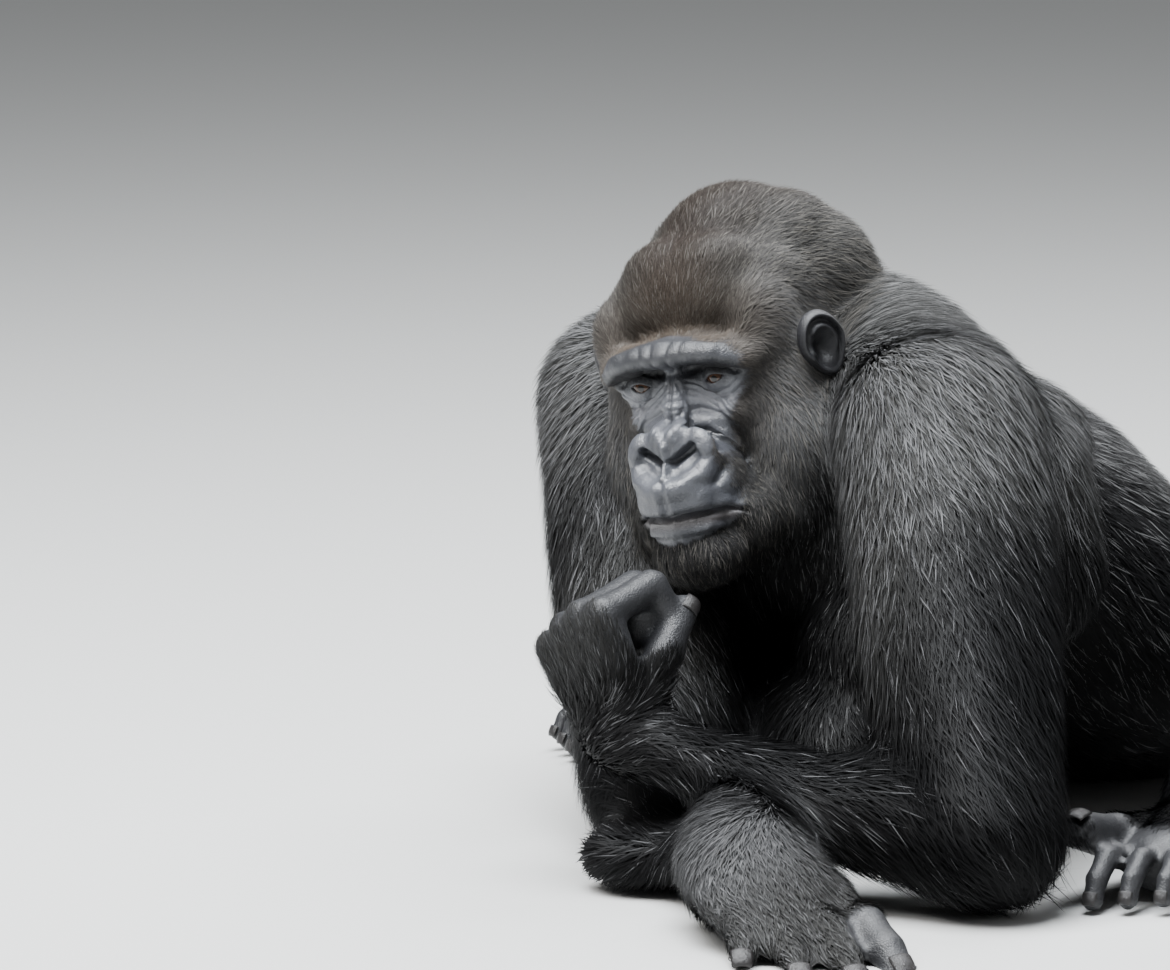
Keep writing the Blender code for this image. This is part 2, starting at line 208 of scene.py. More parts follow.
def mirrored(point, side):
    return (point[0] * side, point[1], point[2])


def mm(values):
    """Millimetres turned into metres."""
    return tuple(value / 1000 for value in values)


print("each lump is a ball of", len(BALL_FACES), "triangles")

# %% [markdown]
# ## Head
# The sagittal crest along the top carries the jaw muscles, and makes a silverback's head tall.
# The brow ridge shades the eyes, the muzzle juts forward, and the chin is short. The masses
# follow those of the solids, with a fuller forehead, and a slimmer nose to cut details in later.

# %% Clay for the head
clay = []
for centre, radii in [
        ((0, 22, 44), (96, 102, 94)),       # braincase and its muscles
        ((0, 40, 92), (66, 94, 67)),       # crest
        ((0, -50, 64), (76, 50, 52)),      # forehead
        ((0, 80, -10), (98, 80, 110)),      # back of the head
        ((0, -62, -30), (76, 50, 70)),     # face
        ((0, -112, -88), (54, 50, 46)),     # muzzle
        ((0, -136, -52), (22, 15, 20)),     # tip of the nose
        ((0, -142, -94), (40, 28, 22)),     # upper lip
        ((0, -138, -126), (38, 26, 18)),     # lower lip
        ((0, -122, -148), (50, 44, 36)),     # chin
        ((0, -40, -115), (80, 80, 66))]:    # throat
    blob(clay, mm(centre), mm(radii), place=head_frame)
for side in (1, -1):
    for centre, radii in [
            ((46, -14, 58), (50, 64, 52)),    # side of the forehead
            ((70, -52, 40), (30, 44, 44)),    # temple above the brow
            ((18, -45, 86), (50, 44, 39)),    # forehead up to the crest
            ((44, 78, 60), (64, 86, 66)),     # nape muscle
            ((53, -12, -26), (62, 78, 82)),   # temple
            ((70, -22, -76), (55, 70, 78)),   # cheek
            ((56, -36, -122), (48, 60, 50)),   # corner of the jaw
            ((44, -88, -122), (34, 40, 36)),   # corner of the mouth
            ((42, -94, -30), (24, 16, 15)),   # cheekbone under the eye
            ((23, -130, -57), (18, 17, 20)),   # wing of the nostril
            ((40, -88, 1), (30, 18.5, 21)),   # soft parts round the eye
            ((50, 70, -60), (62, 80, 90))]:   # side of the nape
        blob(clay, mirrored(mm(centre), side), mm(radii), place=head_frame)
    run(clay, [((0, -0.11, 0.03), 0.018, 0.016), ((0.04 * side, -0.106, 0.029), 0.018, 0.0145),
        ((0.07 * side, -0.086, 0.018), 0.018, 0.016)], place=head_frame)
run(clay, [((0, -0.1, 0.01), 0.014, 0.012), ((0, -0.13, -0.042), 0.014, 0.013)],
    place=head_frame)
print("head:", len(clay), "lumps of clay")

# %% [markdown]
# ## Hands
# A gorilla's fingers are thick and the thumb is short. He walks on the backs of the middle
# bones, so the skin over those joints is bare and padded. The left hand is bent up at the
# wrist with its fingers curled below his chin, and the right lies palm down on the floor.

# %% Clay for the hands
METACARPAL = 0.105
HAND_WAY = {1: (-0.34, -0.18, 0.92), -1: (0.9, -0.43, -0.16)}       # from wrist to knuckles
HAND_BACK = {1: (0.0, -0.985, -0.19), -1: (0.16, -0.08, 0.98)}       # out of the hand's back
PHALANGES = (0.062, 0.042, 0.026)
bare_balls = []      # (centre, radius) of places where the skin stays bare


def hand_axis(side):
    """The way a hand points, and the place of its knuckles."""
    way = Vector(HAND_WAY[side]).normalized()
    return way, Vector(WRIST[side]) + way * METACARPAL


def finger(clay, root, forward, back, bends, bones, radius, bare_from=1, bare_reach=0.75):
    """Three bones that curl away from the back of the hand, thicker at each joint."""
    point = Vector(root)
    for number, (bone, bend) in enumerate(zip(bones, bends)):
        way = forward * cos(radians(bend)) - back * sin(radians(bend))
        tip = point + way * bone
        middle = point.lerp(tip, 0.5)
        run(clay, [(point, radius, radius), (middle, radius * 0.9, radius * 0.9),
            (tip, radius * 0.94, radius * 0.94)], up=back, step=0.008)
        if number >= bare_from:
            bare_balls.append((middle, bone * 0.5 + radius * bare_reach))
        point, radius = tip, radius * 0.94
    dorsal = back * cos(radians(bend)) + forward * sin(radians(bend))
    return point, way, radius, dorsal


def hand_clay(clay, side, bends, spread, thumb, bare_from, thick, plump):
    """A palm, four fingers and a thumb. Returns (tip, way, radius, nail side) of each."""
    forward, back = Vector(HAND_WAY[side]).normalized(), Vector(HAND_BACK[side]).normalized()
    thumbward = forward.cross(back) * side
    back = thumbward.cross(forward) * side
    wrist = Vector(WRIST[side])
    tips = []
    for number, offset in enumerate((0.042, 0.014, -0.014, -0.042)):
        reach = METACARPAL * (1.0, 1.03, 0.98, 0.88)[number]
        knuckle = wrist + forward * reach + thumbward * offset
        start = wrist + thumbward * offset * 0.45
        run(clay, [(start, 0.026, 0.028), (knuckle, thick * 1.1, thick * 1.1)], up=back)
        fan = radians(spread * (1.5 - number) / 1.5)
        way = forward * cos(fan) + thumbward * sin(fan)
        bones = [length * (0.97, 1.04, 1.0, 0.84)[number] for length in PHALANGES]
        radius = thick * (1.0, 1.03, 1.0, 0.9)[number]
        tips.append(finger(clay, knuckle, way, back, bends, bones, radius, bare_from[number]))
    if plump:
        run(clay, [(wrist - forward * 0.03 + back * 0.006, 0.054, 0.056),
            (wrist + forward * 0.03 + back * 0.004 - thumbward * 0.012, 0.07, 0.054),
            (wrist + forward * 0.09 - thumbward * 0.01, 0.074, 0.038),
            (wrist + forward * 0.16 - back * 0.014, 0.066, 0.027)], up=back)
    points = [(wrist + thumbward * a + forward * b + back * c, r, r) for a, b, c, r in thumb]
    run(clay, points, up=back, step=0.008)
    end = (points[-1][0] - points[-2][0]).normalized()
    bare_balls.append((points[-1][0], 0.04))
    tips.append((points[-1][0], end, thumb[-1][3], thumbward))
    return tips


nail_places = []
nail_places += hand_clay(clay, 1,
    (82, 165, 215), 4,
    [(0.03, 0.02, -0.02, 0.024), (0.04, 0.052, -0.044, 0.018),
    (0.044, 0.07, -0.064, 0.015), (0.042, 0.084, -0.084, 0.014)],
    (0, 0, 0, 0), 0.0168, False)
nail_places += hand_clay(clay, -1,
    (4, 12, 28), 11,
    [(0.034, 0.03, -0.016, 0.022), (0.05, 0.056, -0.026, 0.0175),
    (0.05, 0.084, -0.028, 0.015), (0.042, 0.104, -0.028, 0.014)],
    (1, 3, 3, 3), 0.0205, True)
blob(clay, (0.119, -0.621, 0.222), (0.024, 0.024, 0.03))
bare_balls.append(((0.145, -0.643, 0.23), 0.036))
print("fingers and thumbs:", len(nail_places))

# %% [markdown]
# ## Feet
# The foot grips: its great toe stands apart from the others like a thumb. At rest the four
# small toes curl under. Each foot has a heel, an arch, the small toes and the great toe.

# %% Clay for the feet
TOE_BONES = (0.024, 0.03, 0.018)


def foot_clay(clay, side):
    ankle = Vector(ANKLE[side])
    turn = FOOT_TURN[side]
    forward = Vector((sin(turn) * side, -cos(turn), 0))
    outward = Vector((cos(turn) * side, sin(turn), 0))
    up = Vector((0, 0, 1))

    def spot(ahead, out, height):
        return Vector((ankle.x, ankle.y, height)) + forward * ahead + outward * out

    run(clay, [(spot(-0.055, 0, 0.03), 0.035, 0.0305), (spot(0.0, 0, 0.042), 0.041, 0.043),
        (spot(0.08, 0.012, 0.042), 0.045, 0.039),
        (spot(0.15, 0.022, 0.034), 0.047, 0.029)])
    run(clay, [(ankle, 0.044, 0.044), (spot(0.03, 0, 0.05), 0.041, 0.039)])
    tips = []
    for number in range(4):
        root = spot(0.17 - 0.006 * number, -0.02 + 0.0285 * number, 0.04)
        bones = [length * (1.0 - 0.06 * number) for length in TOE_BONES]
        tips.append(finger(clay, root, forward, up, (-8, 32, 62), bones,
            0.0128 - 0.0005 * number, bare_from=0, bare_reach=1.25))
    run(clay, [(spot(0.075, -0.022, 0.04), 0.027, 0.027),
        (spot(0.14, -0.044, 0.05), 0.0203, 0.0203),
        (spot(0.2, -0.046, 0.066), 0.0178, 0.0178)], step=0.008)
    tips.append((spot(0.2, -0.046, 0.066), forward, 0.0178, up))
    bare_balls.append((spot(0.19, 0.01, 0.0), 0.085))
    bare_balls.append((spot(0.16, -0.05, 0.05), 0.05))
    return tips


for side in (1, -1):
    nail_places += foot_clay(clay, side)
print("digits in all:", len(nail_places))

# %% [markdown]
# ## Soft parts between the solids
# Muscle and loose skin bridge the places where two parts meet: the yoke from nape to
# shoulder, the fold behind the arm, and the thick nape behind the crest. The last runs fill
# the belly and the hollow under the chest. This clay stands outside the solids, since without
# it the coat would break along hard valleys.

# %% Clay that bridges the joints
for side in (1, -1):
    shoulder, elbow = Vector(SHOULDER[side]), Vector(ELBOW[side])
    nape = Vector((0.02 + 0.05 * side, -0.285, 0.4))
    run(clay, [(nape, 0.085, 0.085), (shoulder + Vector((-0.03 * side, 0.02, 0.006)), 0.088, 0.088)])
    behind = shoulder.lerp(elbow, 0.3)
    run(clay, [(shoulder + Vector((0.01 * side, 0.055, -0.05)), 0.085, 0.095),
        (behind + Vector((-0.03 * side, 0.1, -0.03)), 0.08, 0.09)])
    blob(clay, (0.031 * side, 0.062, 0.08), (0.062, 0.082, 0.066), place=head_frame)
    blob(clay, (0.032 + 0.123 * side, -0.306, 0.406), (0.085, 0.075, 0.062))
    blob(clay, (0.028 + 0.19 * side, -0.28, 0.355), (0.08, 0.08, 0.072))
run(clay, [((0.14, -0.34, 0.17), 0.095, 0.095), ((-0.04, -0.16, 0.12), 0.11, 0.11)])
run(clay, [((0.135, -0.4, 0.08), 0.08, 0.08), ((-0.03, -0.28, 0.095), 0.12, 0.095),
    ((-0.2, -0.17, 0.095), 0.11, 0.095)])
run(clay, [((0.0, -0.29, 0.458), 0.075, 0.05), ((0.02, -0.235, 0.44), 0.09, 0.046)])
print("lumps of clay in all:", len(clay))

# %% [markdown]
# ## One skin
# On the living animal nothing separates neck from back or arm from hand, so the lumps and the
# copied solids of the body are fused into one closed surface. Each copy is first swollen by a
# little over half a millimetre, which closes the working gaps between the solids.

# %% Fuse clay and body
VOXEL = 0.004
BODY_NODES = ["neck", "trunk"] + [f"{part}_{side}" for part in
    ("upper_arm", "forearm", "thigh", "shin")
    for side in ("left", "right")]
FLESH_NODES = BODY_NODES + ["head", "hand_left", "hand_right", "foot_left", "foot_right"]


def applied(thing):
    """Replace an object's mesh by what its modifiers make of it."""
    graph = bpy.context.evaluated_depsgraph_get()
    mesh = bpy.data.meshes.new_from_object(thing.evaluated_get(graph))
    thing.modifiers.clear()
    thing.data = mesh
    return thing


def mesh_of(name, points, faces):
    """A mesh from an array of points and an array of faces with equally many corners."""
    mesh = bpy.data.meshes.new(name)
    corners = faces.shape[1]
    mesh.vertices.add(len(points))
    mesh.vertices.foreach_set("co", np.ascontiguousarray(points, dtype=np.float32).ravel())
    mesh.loops.add(faces.size)
    mesh.loops.foreach_set("vertex_index", np.ascontiguousarray(faces, dtype=np.int32).ravel())
    mesh.polygons.add(len(faces))
    mesh.polygons.foreach_set("loop_start", np.arange(0, faces.size, corners, dtype=np.int32))
    mesh.update(calc_edges=True)
    return mesh


points, faces, first = [], [], 0
for lump in clay:
    points.append(lump)
    faces.append(BALL_FACES + first)
    first += len(lump)
for name in BODY_NODES:
    copy = bmesh.new()
    copy.from_mesh(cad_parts[name].data)
    bmesh.ops.remove_doubles(copy, verts=copy.verts, dist=1e-6)
    copy.normal_update()
    points.append(np.array([(vert.co + vert.normal * 0.0006)[:] for vert in copy.verts]))
    faces.append(np.array([[vert.index for vert in face.verts] for face in copy.faces]) + first)
    first += len(copy.verts)
    copy.free()
mesh = mesh_of("skin", np.concatenate(points), np.concatenate(faces))
skin = in_scene("skin", mesh)
remesh = skin.modifiers.new("Fuse", "REMESH")
remesh.mode = "VOXEL"
remesh.voxel_size = VOXEL
skin = applied(skin)
print("fused skin:", len(skin.data.polygons), "faces")

# %% [markdown]
# ## The lie of the coat
# Hair doesn't stand straight out. It streams back over the crown, down the cheeks and the
# flanks, and on the arms it runs from shoulder and from wrist towards the elbow, so that rain
# drips off there. Each part of the body below has a bone it surrounds, and one or more
# anchors: a place, the way the hair lies there, its length, colour and share of grey hairs.

# %% Parts of the body and their anchors
BLACK = (0.005, 0.005, 0.0054)
SOOT = (0.014, 0.0135, 0.0138)
UMBER = (0.02, 0.015, 0.012)
CHESTNUT = (0.013, 0.0075, 0.0052)
TAN = (0.1, 0.078, 0.06)
GREY = (0.036, 0.0355, 0.034)
SILVER = (0.11, 0.11, 0.112)
PALE = (0.15, 0.15, 0.153)


def head_spot(x, y, z):
    return tuple(head_frame @ Vector((x, y, z)))


def towards(start, end, extra=(0, 0, 0)):
    return (Vector(end) - Vector(start)).normalized() + Vector(extra)


def part_way(start, end, share, extra=(0, 0, 0)):
    return tuple(Vector(start).lerp(Vector(end), share) + Vector(extra))


parts_of_body = []    # (bone start, radius, bone end, radius, squash of x, anchors)


def body_part(start, r0, end, r1, anchors, squash=1.0):
    parts_of_body.append((start, r0, end, r1, squash, anchors))


def both(rows):
    """Anchors given for the left side in millimetres, and the same ones mirrored."""
    result = []
    for spot, way, length, *rest in rows:
        for side in (1, -1) if spot[0] else (1,):
            result.append((mirrored(mm(spot), side), mirrored(way, side), length / 1000, *rest))
    return result


head_anchors = [
    (head_spot(*spot), tuple(from_head(way)), *rest) for spot, way, *rest in both([
    ((0, -116, 50), (0, 0.45, 0.9), 6, TAN, 0.2),
    ((40, -110, 48), (0.25, 0.5, 0.8), 6, TAN, 0.3),
    ((0, -96, 76), (0, 0.5, 0.85), 12, CHESTNUT, 0.01),
    ((0, -60, 110), (0, 0.75, 0.65), 15, CHESTNUT, 0.08),
    ((52, -78, 78), (0.25, 0.6, 0.7), 13, GREY, 0.3),
    ((0, -10, 140), (0, 0.95, 0.2), 18, UMBER, 0.15),
    ((0, 70, 155), (0, 1.0, -0.2), 22, UMBER, 0.2),
    ((70, 0, 90), (0.15, 0.9, -0.15), 18, GREY, 0.5),
    ((96, -55, 25), (0.2, 0.5, -0.75), 12, SILVER, 0.5),
    ((104, -45, -30), (0.15, 0.25, -0.95), 15, SILVER, 0.45),
    ((115, -25, -80), (0.15, 0.15, -1.0), 19, SILVER, 0.45),
    ((120, 10, -60), (0.15, 0.25, -0.95), 23, GREY, 0.45),
    ((75, -65, -130), (0.15, 0.2, -0.95), 20, GREY, 0.4),
    ((0, -155, -150), (0, 0.1, -1.0), 9, SOOT, 0.35),
    ((20, -100, -180), (0.1, 0.45, -0.85), 20, SOOT, 0.25),
    ((105, 40, 30), (0.15, 0.7, -0.7), 30, GREY, 0.5),
    ((95, 90, -50), (0.1, 0.5, -0.85), 34, GREY, 0.55),
    ((0, 130, 60), (0, 0.6, -0.75), 34, GREY, 0.5)])]
body_part(head_spot(0, 0.03, 0.05), 0.105, head_spot(0, -0.05, -0.09), 0.085, head_anchors)
trunk_anchors = both([
    ((0, -300, 480), (0, 0.9, -0.25), 32, GREY, 0.6),
    ((120, -290, 450), (0.7, 0.5, -0.5), 34, GREY, 0.55),
    ((0, -180, 440), (0, 1.0, -0.3), 28, SOOT, 0.5),
    ((130, -170, 400), (0.35, 0.85, -0.55), 32, SOOT, 0.45),
    ((0, -20, 350), (0, 1.0, -0.3), 22, GREY, 0.6),
    ((120, 0, 310), (0.25, 0.9, -0.5), 22, GREY, 0.6),
    ((0, 140, 260), (0, 1.0, -0.25), 18, SILVER, 0.75),
    ((120, 150, 220), (0.3, 0.8, -0.6), 20, SILVER, 0.65),
    ((0, 300, 160), (0, 0.5, -0.85), 28, GREY, 0.55),
    ((150, 300, 90), (0.2, 0.4, -0.9), 30, GREY, 0.4),
    ((240, -180, 230), (0.05, 0.65, -0.75), 40, BLACK, 0.12),
    ((270, 20, 120), (0.05, 0.55, -0.8), 40, BLACK, 0.16),
    ((220, 200, 100), (0.1, 0.5, -0.85), 34, SOOT, 0.35),
    ((80, -420, 260), (0.05, 0.1, -1.0), 18, BLACK, 0.05),
    ((0, -400, 160), (0, 0.4, -0.9), 18, BLACK, 0.05),
    ((120, -150, 20), (0, 1.0, 0.0), 18, BLACK, 0.05),
    ((120, 120, 10), (0, 1.0, 0.0), 18, BLACK, 0.05)])
body_part((0.02, -0.3, 0.27), 0.16, (0.0, 0.19, 0.115), 0.12, trunk_anchors, squash=0.62)
body_part((0.01, -0.34, 0.35), 0.11, (0.03, -0.25, 0.38), 0.115, trunk_anchors, squash=0.8)
for side in (1, -1):
    shoulder, elbow, wrist = SHOULDER[side], ELBOW[side], WRIST[side]
    hip, knee, ankle = HIP[side], KNEE[side], ANKLE[side]
    body_part(shoulder, 0.1, elbow, 0.08, [
        # Grey tips on the top of the shoulder and along the front of the upper arm: partly his
        # grizzle, partly a painted sheen of the light from above.
        (part_way(shoulder, elbow, 0, (0, 0.03, 0.09)), (0.75 * side, 0.1, -0.6), 0.032, GREY, 0.7),
        (shoulder, (0.5 * side, 0.05, -0.85), 0.036, GREY, 0.7),
        (part_way(shoulder, elbow, 0.45, (-0.07 * side, -0.11, 0.02)),
        towards(shoulder, elbow, (0, 0.15, -0.1)), 0.038, GREY, 0.5),
        (part_way(shoulder, elbow, 0.5),
        towards(shoulder, elbow, (0, 0.25, -0.1)), 0.044, BLACK, 0.02),
        (part_way(shoulder, elbow, 0.4, (0.08 * side, 0.05, 0)),
        towards(shoulder, elbow, (0, 0.3, -0.1)), 0.042, BLACK, 0.03),
        (elbow, towards(shoulder, elbow, (0, 0.35, -0.2)), 0.048, BLACK, 0.01)])
    body_part(elbow, 0.066, wrist, 0.045, [
        (elbow, towards(wrist, elbow, (0, 0.25, -0.15)), 0.052, BLACK, 0.04),
        (wrist, towards(wrist, elbow, (0.3 * side, -0.2, -0.6)), 0.036, BLACK, 0.03)])
    body_part(hip, 0.12, knee, 0.086, [
        (hip, towards(hip, knee, (0, 0.1, -0.7)), 0.036, GREY, 0.5),
        (part_way(hip, knee, 0.5), towards(hip, knee, (0, 0, -0.8)), 0.038, SOOT, 0.3),
        (knee, towards(hip, knee, (0, -0.2, -0.9)), 0.04, BLACK, 0.15)])
    body_part(knee, 0.075, ankle, 0.05, [
        (knee, towards(knee, ankle, (0, 0, -0.3)), 0.04, BLACK, 0.1),
        (ankle, towards(knee, ankle, (0, 0, -0.2)), 0.026, BLACK, 0.04)])
    turn = FOOT_TURN[side]
    toes = (ankle[0] + sin(turn) * side * 0.16, ankle[1] - cos(turn) * 0.16, 0.04)
    body_part(ankle, 0.045, toes, 0.046, [
        (ankle, towards(ankle, toes), 0.018, BLACK, 0.02),
        (toes, towards(ankle, toes), 0.009, BLACK, 0.0)])
for side in (1, -1):
    way, palm = hand_axis(side)
    across = Vector((0.38, 0.8, -0.35)) if side < 0 else Vector((0, 0, 0))
    anchors = [(WRIST[side], tuple(way), 0.028 if side < 0 else 0.018, SOOT, 0.25),
        (tuple(palm), tuple(way), 0.018 if side < 0 else 0.007, GREY, 0.2)]
    if side < 0:
        # Painted sheen: the pale and silver tips on top of the right hand stand in for the shine of
        # light from above on its flat-lying hair.
        top = Vector(WRIST[side]) + Vector((0.0, 0.0, 0.05))
        anchors += [
            (tuple(top + way * 0.05), tuple(way), 0.018, PALE, 0.6),
            (tuple(top + way * 0.06 - across * 0.05), tuple(way - across), 0.024, SILVER, 0.4),
            (tuple(top + way * 0.06 + across * 0.05), tuple(way + across), 0.02, GREY, 0.3),
            (tuple(top - way * 0.01), tuple(way * 0.5 - across), 0.028, SOOT, 0.3)]
    body_part(WRIST[side], 0.044, tuple(palm), 0.05, anchors)
print("parts:", len(parts_of_body), "anchors:", sum(len(part[5]) for part in parts_of_body))

# %% [markdown]
# ## From anchors to a smooth field
# A real coat changes gradually from place to place. Every point of the skin takes a blend of
# the anchors, with the near ones counting most. The face, the ears, the palms, the soles, the
# toes, the thumbs and the left fingers stay bare. Hair runs far down the right fingers.

# %% The coat at any point of the skin
def step_up(value, low, high):
    """0 below low, 1 above high, and a smooth S between them."""
    share = np.clip((value - low) / (high - low), 0, 1)
    return share * share * (3 - 2 * share)


def skin_gap(points, start, r0, end, r1, squash):
    """Distance to the rounded part of the body that surrounds one bone."""
    gap, share = bone_distance(points, start, end, squash)
    return gap - (r0 + (r1 - r0) * share)


def gap_to(points, place):
    """Distance of each point from one place."""
    return np.linalg.norm(points - np.array(place), axis=1)


def bone_distance(points, start, end, squash=1.0):
    """Distance to a bone, and how far along it the nearest place is, from 0 to 1."""
    scale = np.array((squash, 1, 1))
    start, end = np.array(start) * scale, np.array(end) * scale
    points = points * scale
    along = end - start
    share = np.clip((points - start) @ along / max(along @ along, 1e-9), 0, 1)
    return np.linalg.norm(points - start - share[:, None] * along, axis=1), share


PULL = 0.022           # how quickly an anchor loses its hold with distance
BLEND = 0.03          # how far, in metres, the coat of one part fades into the next
FACE_EDGE = [(-0.134, 0.0), (-0.129, 0.026), (-0.122, 0.042), (-0.112, 0.051),
    (-0.095, 0.052), (-0.07, 0.045), (-0.045, 0.044), (-0.02, 0.053),
    (0.0, 0.066), (0.018, 0.07), (0.032, 0.06), (0.039, 0.03), (0.043, 0.0)]
EAR_AT = {1: (0.109, -0.04, 0.012), -1: (-0.101, -0.022, 0.01)}
EAR_TURN = {1: -32, -1: -14}
HEAD_REACH = 0.25      # no part of the head is farther than this from its middle


def hand_distance(points, side):
    """Distance to a hand's long bones, and how far along them the nearest place is."""
    return bone_distance(points, WRIST[side], tuple(hand_axis(side)[1]))


def on_head(local):
    """1 on the head and 0 away from it, for points in the head's own axes."""
    return step_up(HEAD_REACH - np.linalg.norm(local, axis=1), 0.0, 0.02)


def bare_face(local):
    """How far inside the bare face a point is, in metres, and less than 0 outside it."""
    heights, widths = zip(*FACE_EDGE)
    edge = np.interp(local[:, 2], heights, widths, left=-0.02, right=-0.02)
    return np.minimum(edge - np.abs(local[:, 0]), (-0.052 - local[:, 1]) * 1.5)


def coat_at(points, normals):
    """Length, lie, colour, greyness and thickness of the coat at each point."""
    count = len(points)
    total = np.zeros((count, 8))
    weights = np.zeros(count)
    for *bone, anchors in parts_of_body:
        gap = skin_gap(points, *bone)
        near = np.exp(-np.clip(gap, -0.02, 1) / BLEND)
        mixed, sums = np.zeros((count, 8)), np.zeros(count)
        for place, way, length, colour, grey in anchors:
            away = gap_to(points, place)
            pull = np.exp(-away / PULL) + 1e-12
            way = Vector(way).normalized()
            mixed += pull[:, None] * np.array((*way, length, *colour, grey))
            sums += pull
        total += near[:, None] * mixed / sums[:, None]
        weights += near
    total /= weights[:, None]
    lie = total[:, 0:3]
    lie = lie - normals * (lie * normals).sum(1)[:, None] * 0.9
    lie /= np.linalg.norm(lie, axis=1)[:, None] + 1e-9
    length, colour, grey = total[:, 3], total[:, 4:7], total[:, 7]
    local = in_head(points)
    inside = bare_face(local)
    near_head = on_head(local) > 0
    thick = np.where(near_head, 1 - step_up(inside, -0.008, 0.006), 1.0)
    away = np.clip(-inside, 0, 1)
    length = np.where(near_head, np.minimum(length, 0.005 + away * 0.75), length)
    for side in (1, -1):
        thick *= step_up(gap_to(local, EAR_AT[side]), 0.016, 0.028)
    for centre, radius in bare_balls:
        away = gap_to(points, centre)
        thick *= step_up(away, radius * 0.8, radius * 1.15)
        length = np.minimum(length, np.clip(0.006 + (away - radius * 0.8) * 0.8, 0.006, 1))
    for side in (1, -1):
        gap, share = hand_distance(points, side)
        inner = step_up(-(normals @ np.array(HAND_BACK[side])), 0.05, 0.4) * step_up(share, 0.15, 0.35)
        thick *= 1 - inner * step_up(0.075 - gap, 0, 0.012)
    gap, share = hand_distance(points, 1)
    thick *= 1 - 0.65 * step_up(share, 0.25, 0.6) * step_up(0.09 - gap, 0, 0.02)
    for side in (1, -1):
        ankle = ANKLE[side]
        flat = np.linalg.norm(points[:, :2] - np.array(ankle)[:2], axis=1)
        foot = step_up(0.26 - flat, 0, 0.04) * step_up(0.075 - points[:, 2], 0, 0.02)
        thick *= 1 - foot * step_up(-normals[:, 2], -0.1, 0.3)
    return {"lie": lie, "length": length, "colour": colour, "grey": np.clip(grey, 0, 1),
        "thick": thick, "face": np.where(near_head, inside, -1.0)}


def arrays_of(mesh):
    """Points and normals of a mesh as arrays."""
    found = []
    for items, name in ((mesh.vertices, "co"), (mesh.vertex_normals, "vector")):
        values = np.empty(len(mesh.vertices) * 3, np.float32)
        items.foreach_get(name, values)
        found.append(values.reshape(-1, 3).astype(float))
    return found


def set_points(mesh, points):
    mesh.vertices.foreach_set("co", points.astype(np.float32).ravel())
    mesh.update()


def fine_areas(points):
    """1 where the surface needs fine detail: the face, the hands and the feet."""
    local = in_head(points)
    fine = step_up(bare_face(local), -0.012, 0.0) * on_head(local)
    for centre, radius in bare_balls:
        away = gap_to(points, centre)
        fine = np.maximum(fine, 1 - step_up(away, radius * 1.3, radius * 1.7))
    gap, share = hand_distance(points, 1)
    return np.maximum(fine, step_up(share, 0.1, 0.4) * step_up(0.07 - gap, 0, 0.01))


points, normals = arrays_of(skin.data)
fine = fine_areas(points)
print("share of the skin that needs fine detail:", round(float(fine.mean()), 3))

# %% [markdown]
# ## Take the coat's depth off
# The solids reach out to the tips of the hair, so the skin has to lie deeper. Hair that lies
# back is about a quarter as deep as it is long. The surface is first smoothed, most where
# hair will cover it, then moved inwards by that depth, and thinned where no detail is needed.

# %% Smooth, sink and thin the skin
SOFT_ROUNDS = 36       # how often the haired skin is smoothed
BODY_SHARE = 0.085     # share of the triangles that is kept away from the fine areas
LOFT = 0.27            # depth of the coat over the length of its hair
BARE_MARGIN = 0.0008   # bare skin is sunk by this much
SKIN_FLOOR = 0.0006    # the lowest that the skin may lie
HAIR_FLOOR = 0.0004    # the lowest that hair and nails may lie


def weight_group(thing, name, values):
    group = thing.vertex_groups.new(name=name)
    levels = np.clip(np.round(values * 20), 0, 20).astype(int)
    for level in range(1, 21):
        chosen = np.nonzero(levels == level)[0]
        if len(chosen):
            group.add(chosen.tolist(), level / 20, "REPLACE")
    return group


def smoothed(thing, name, values, rounds):
    weight_group(thing, name, values)
    smooth = thing.modifiers.new(name, "SMOOTH")
    smooth.factor = 0.5
    smooth.iterations = rounds
    smooth.vertex_group = name
    thing = applied(thing)
    thing.vertex_groups.clear()
    return thing


head_share = step_up(0.235 - np.linalg.norm(in_head(points), axis=1), 0.0, 0.05)
skin = smoothed(skin, "Soft body", np.clip(1 - fine, 0.12, 1) * (1 - 0.75 * head_share),
    SOFT_ROUNDS)
points, normals = arrays_of(skin.data)
coat = coat_at(points, normals)
depth = coat["length"] * LOFT * coat["thick"] + BARE_MARGIN
for share in (0.5, 0.5):
    points, normals = arrays_of(skin.data)
    points -= normals * depth[:, None] * share
    points[:, 2] = np.maximum(points[:, 2], SKIN_FLOOR)
    set_points(skin.data, points)
    skin = smoothed(skin, "Ease", np.clip(1 - fine, 0, 1), 4)
points, normals = arrays_of(skin.data)
fine = fine_areas(points)
skin.modifiers.new("Triangles", "TRIANGULATE")
skin = applied(skin)
weight_group(skin, "Body", 1 - fine)
thin = skin.modifiers.new("Thin", "DECIMATE")
thin.vertex_group = "Body"
kept = float(fine.mean())
thin.ratio = kept + (1 - kept) * BODY_SHARE
skin = applied(skin)
skin.vertex_groups.clear()
print("hair length from", round(coat["length"].min(), 3), "to", round(coat["length"].max(), 3))
print("skin:", len(skin.data.polygons), "triangles")

# %% [markdown]
# ## The face
# The face is bare, so every fold shows. The lids wrap the eyeballs, the wings of the nose
# stand up in a ring like a heart around slanting nostrils, and the long upper lip is split by
# a shallow groove. The mesh is made finer there, then worked like clay with a tool: each
# stroke is a line of points with a width, and a height that raises the skin or cuts it.

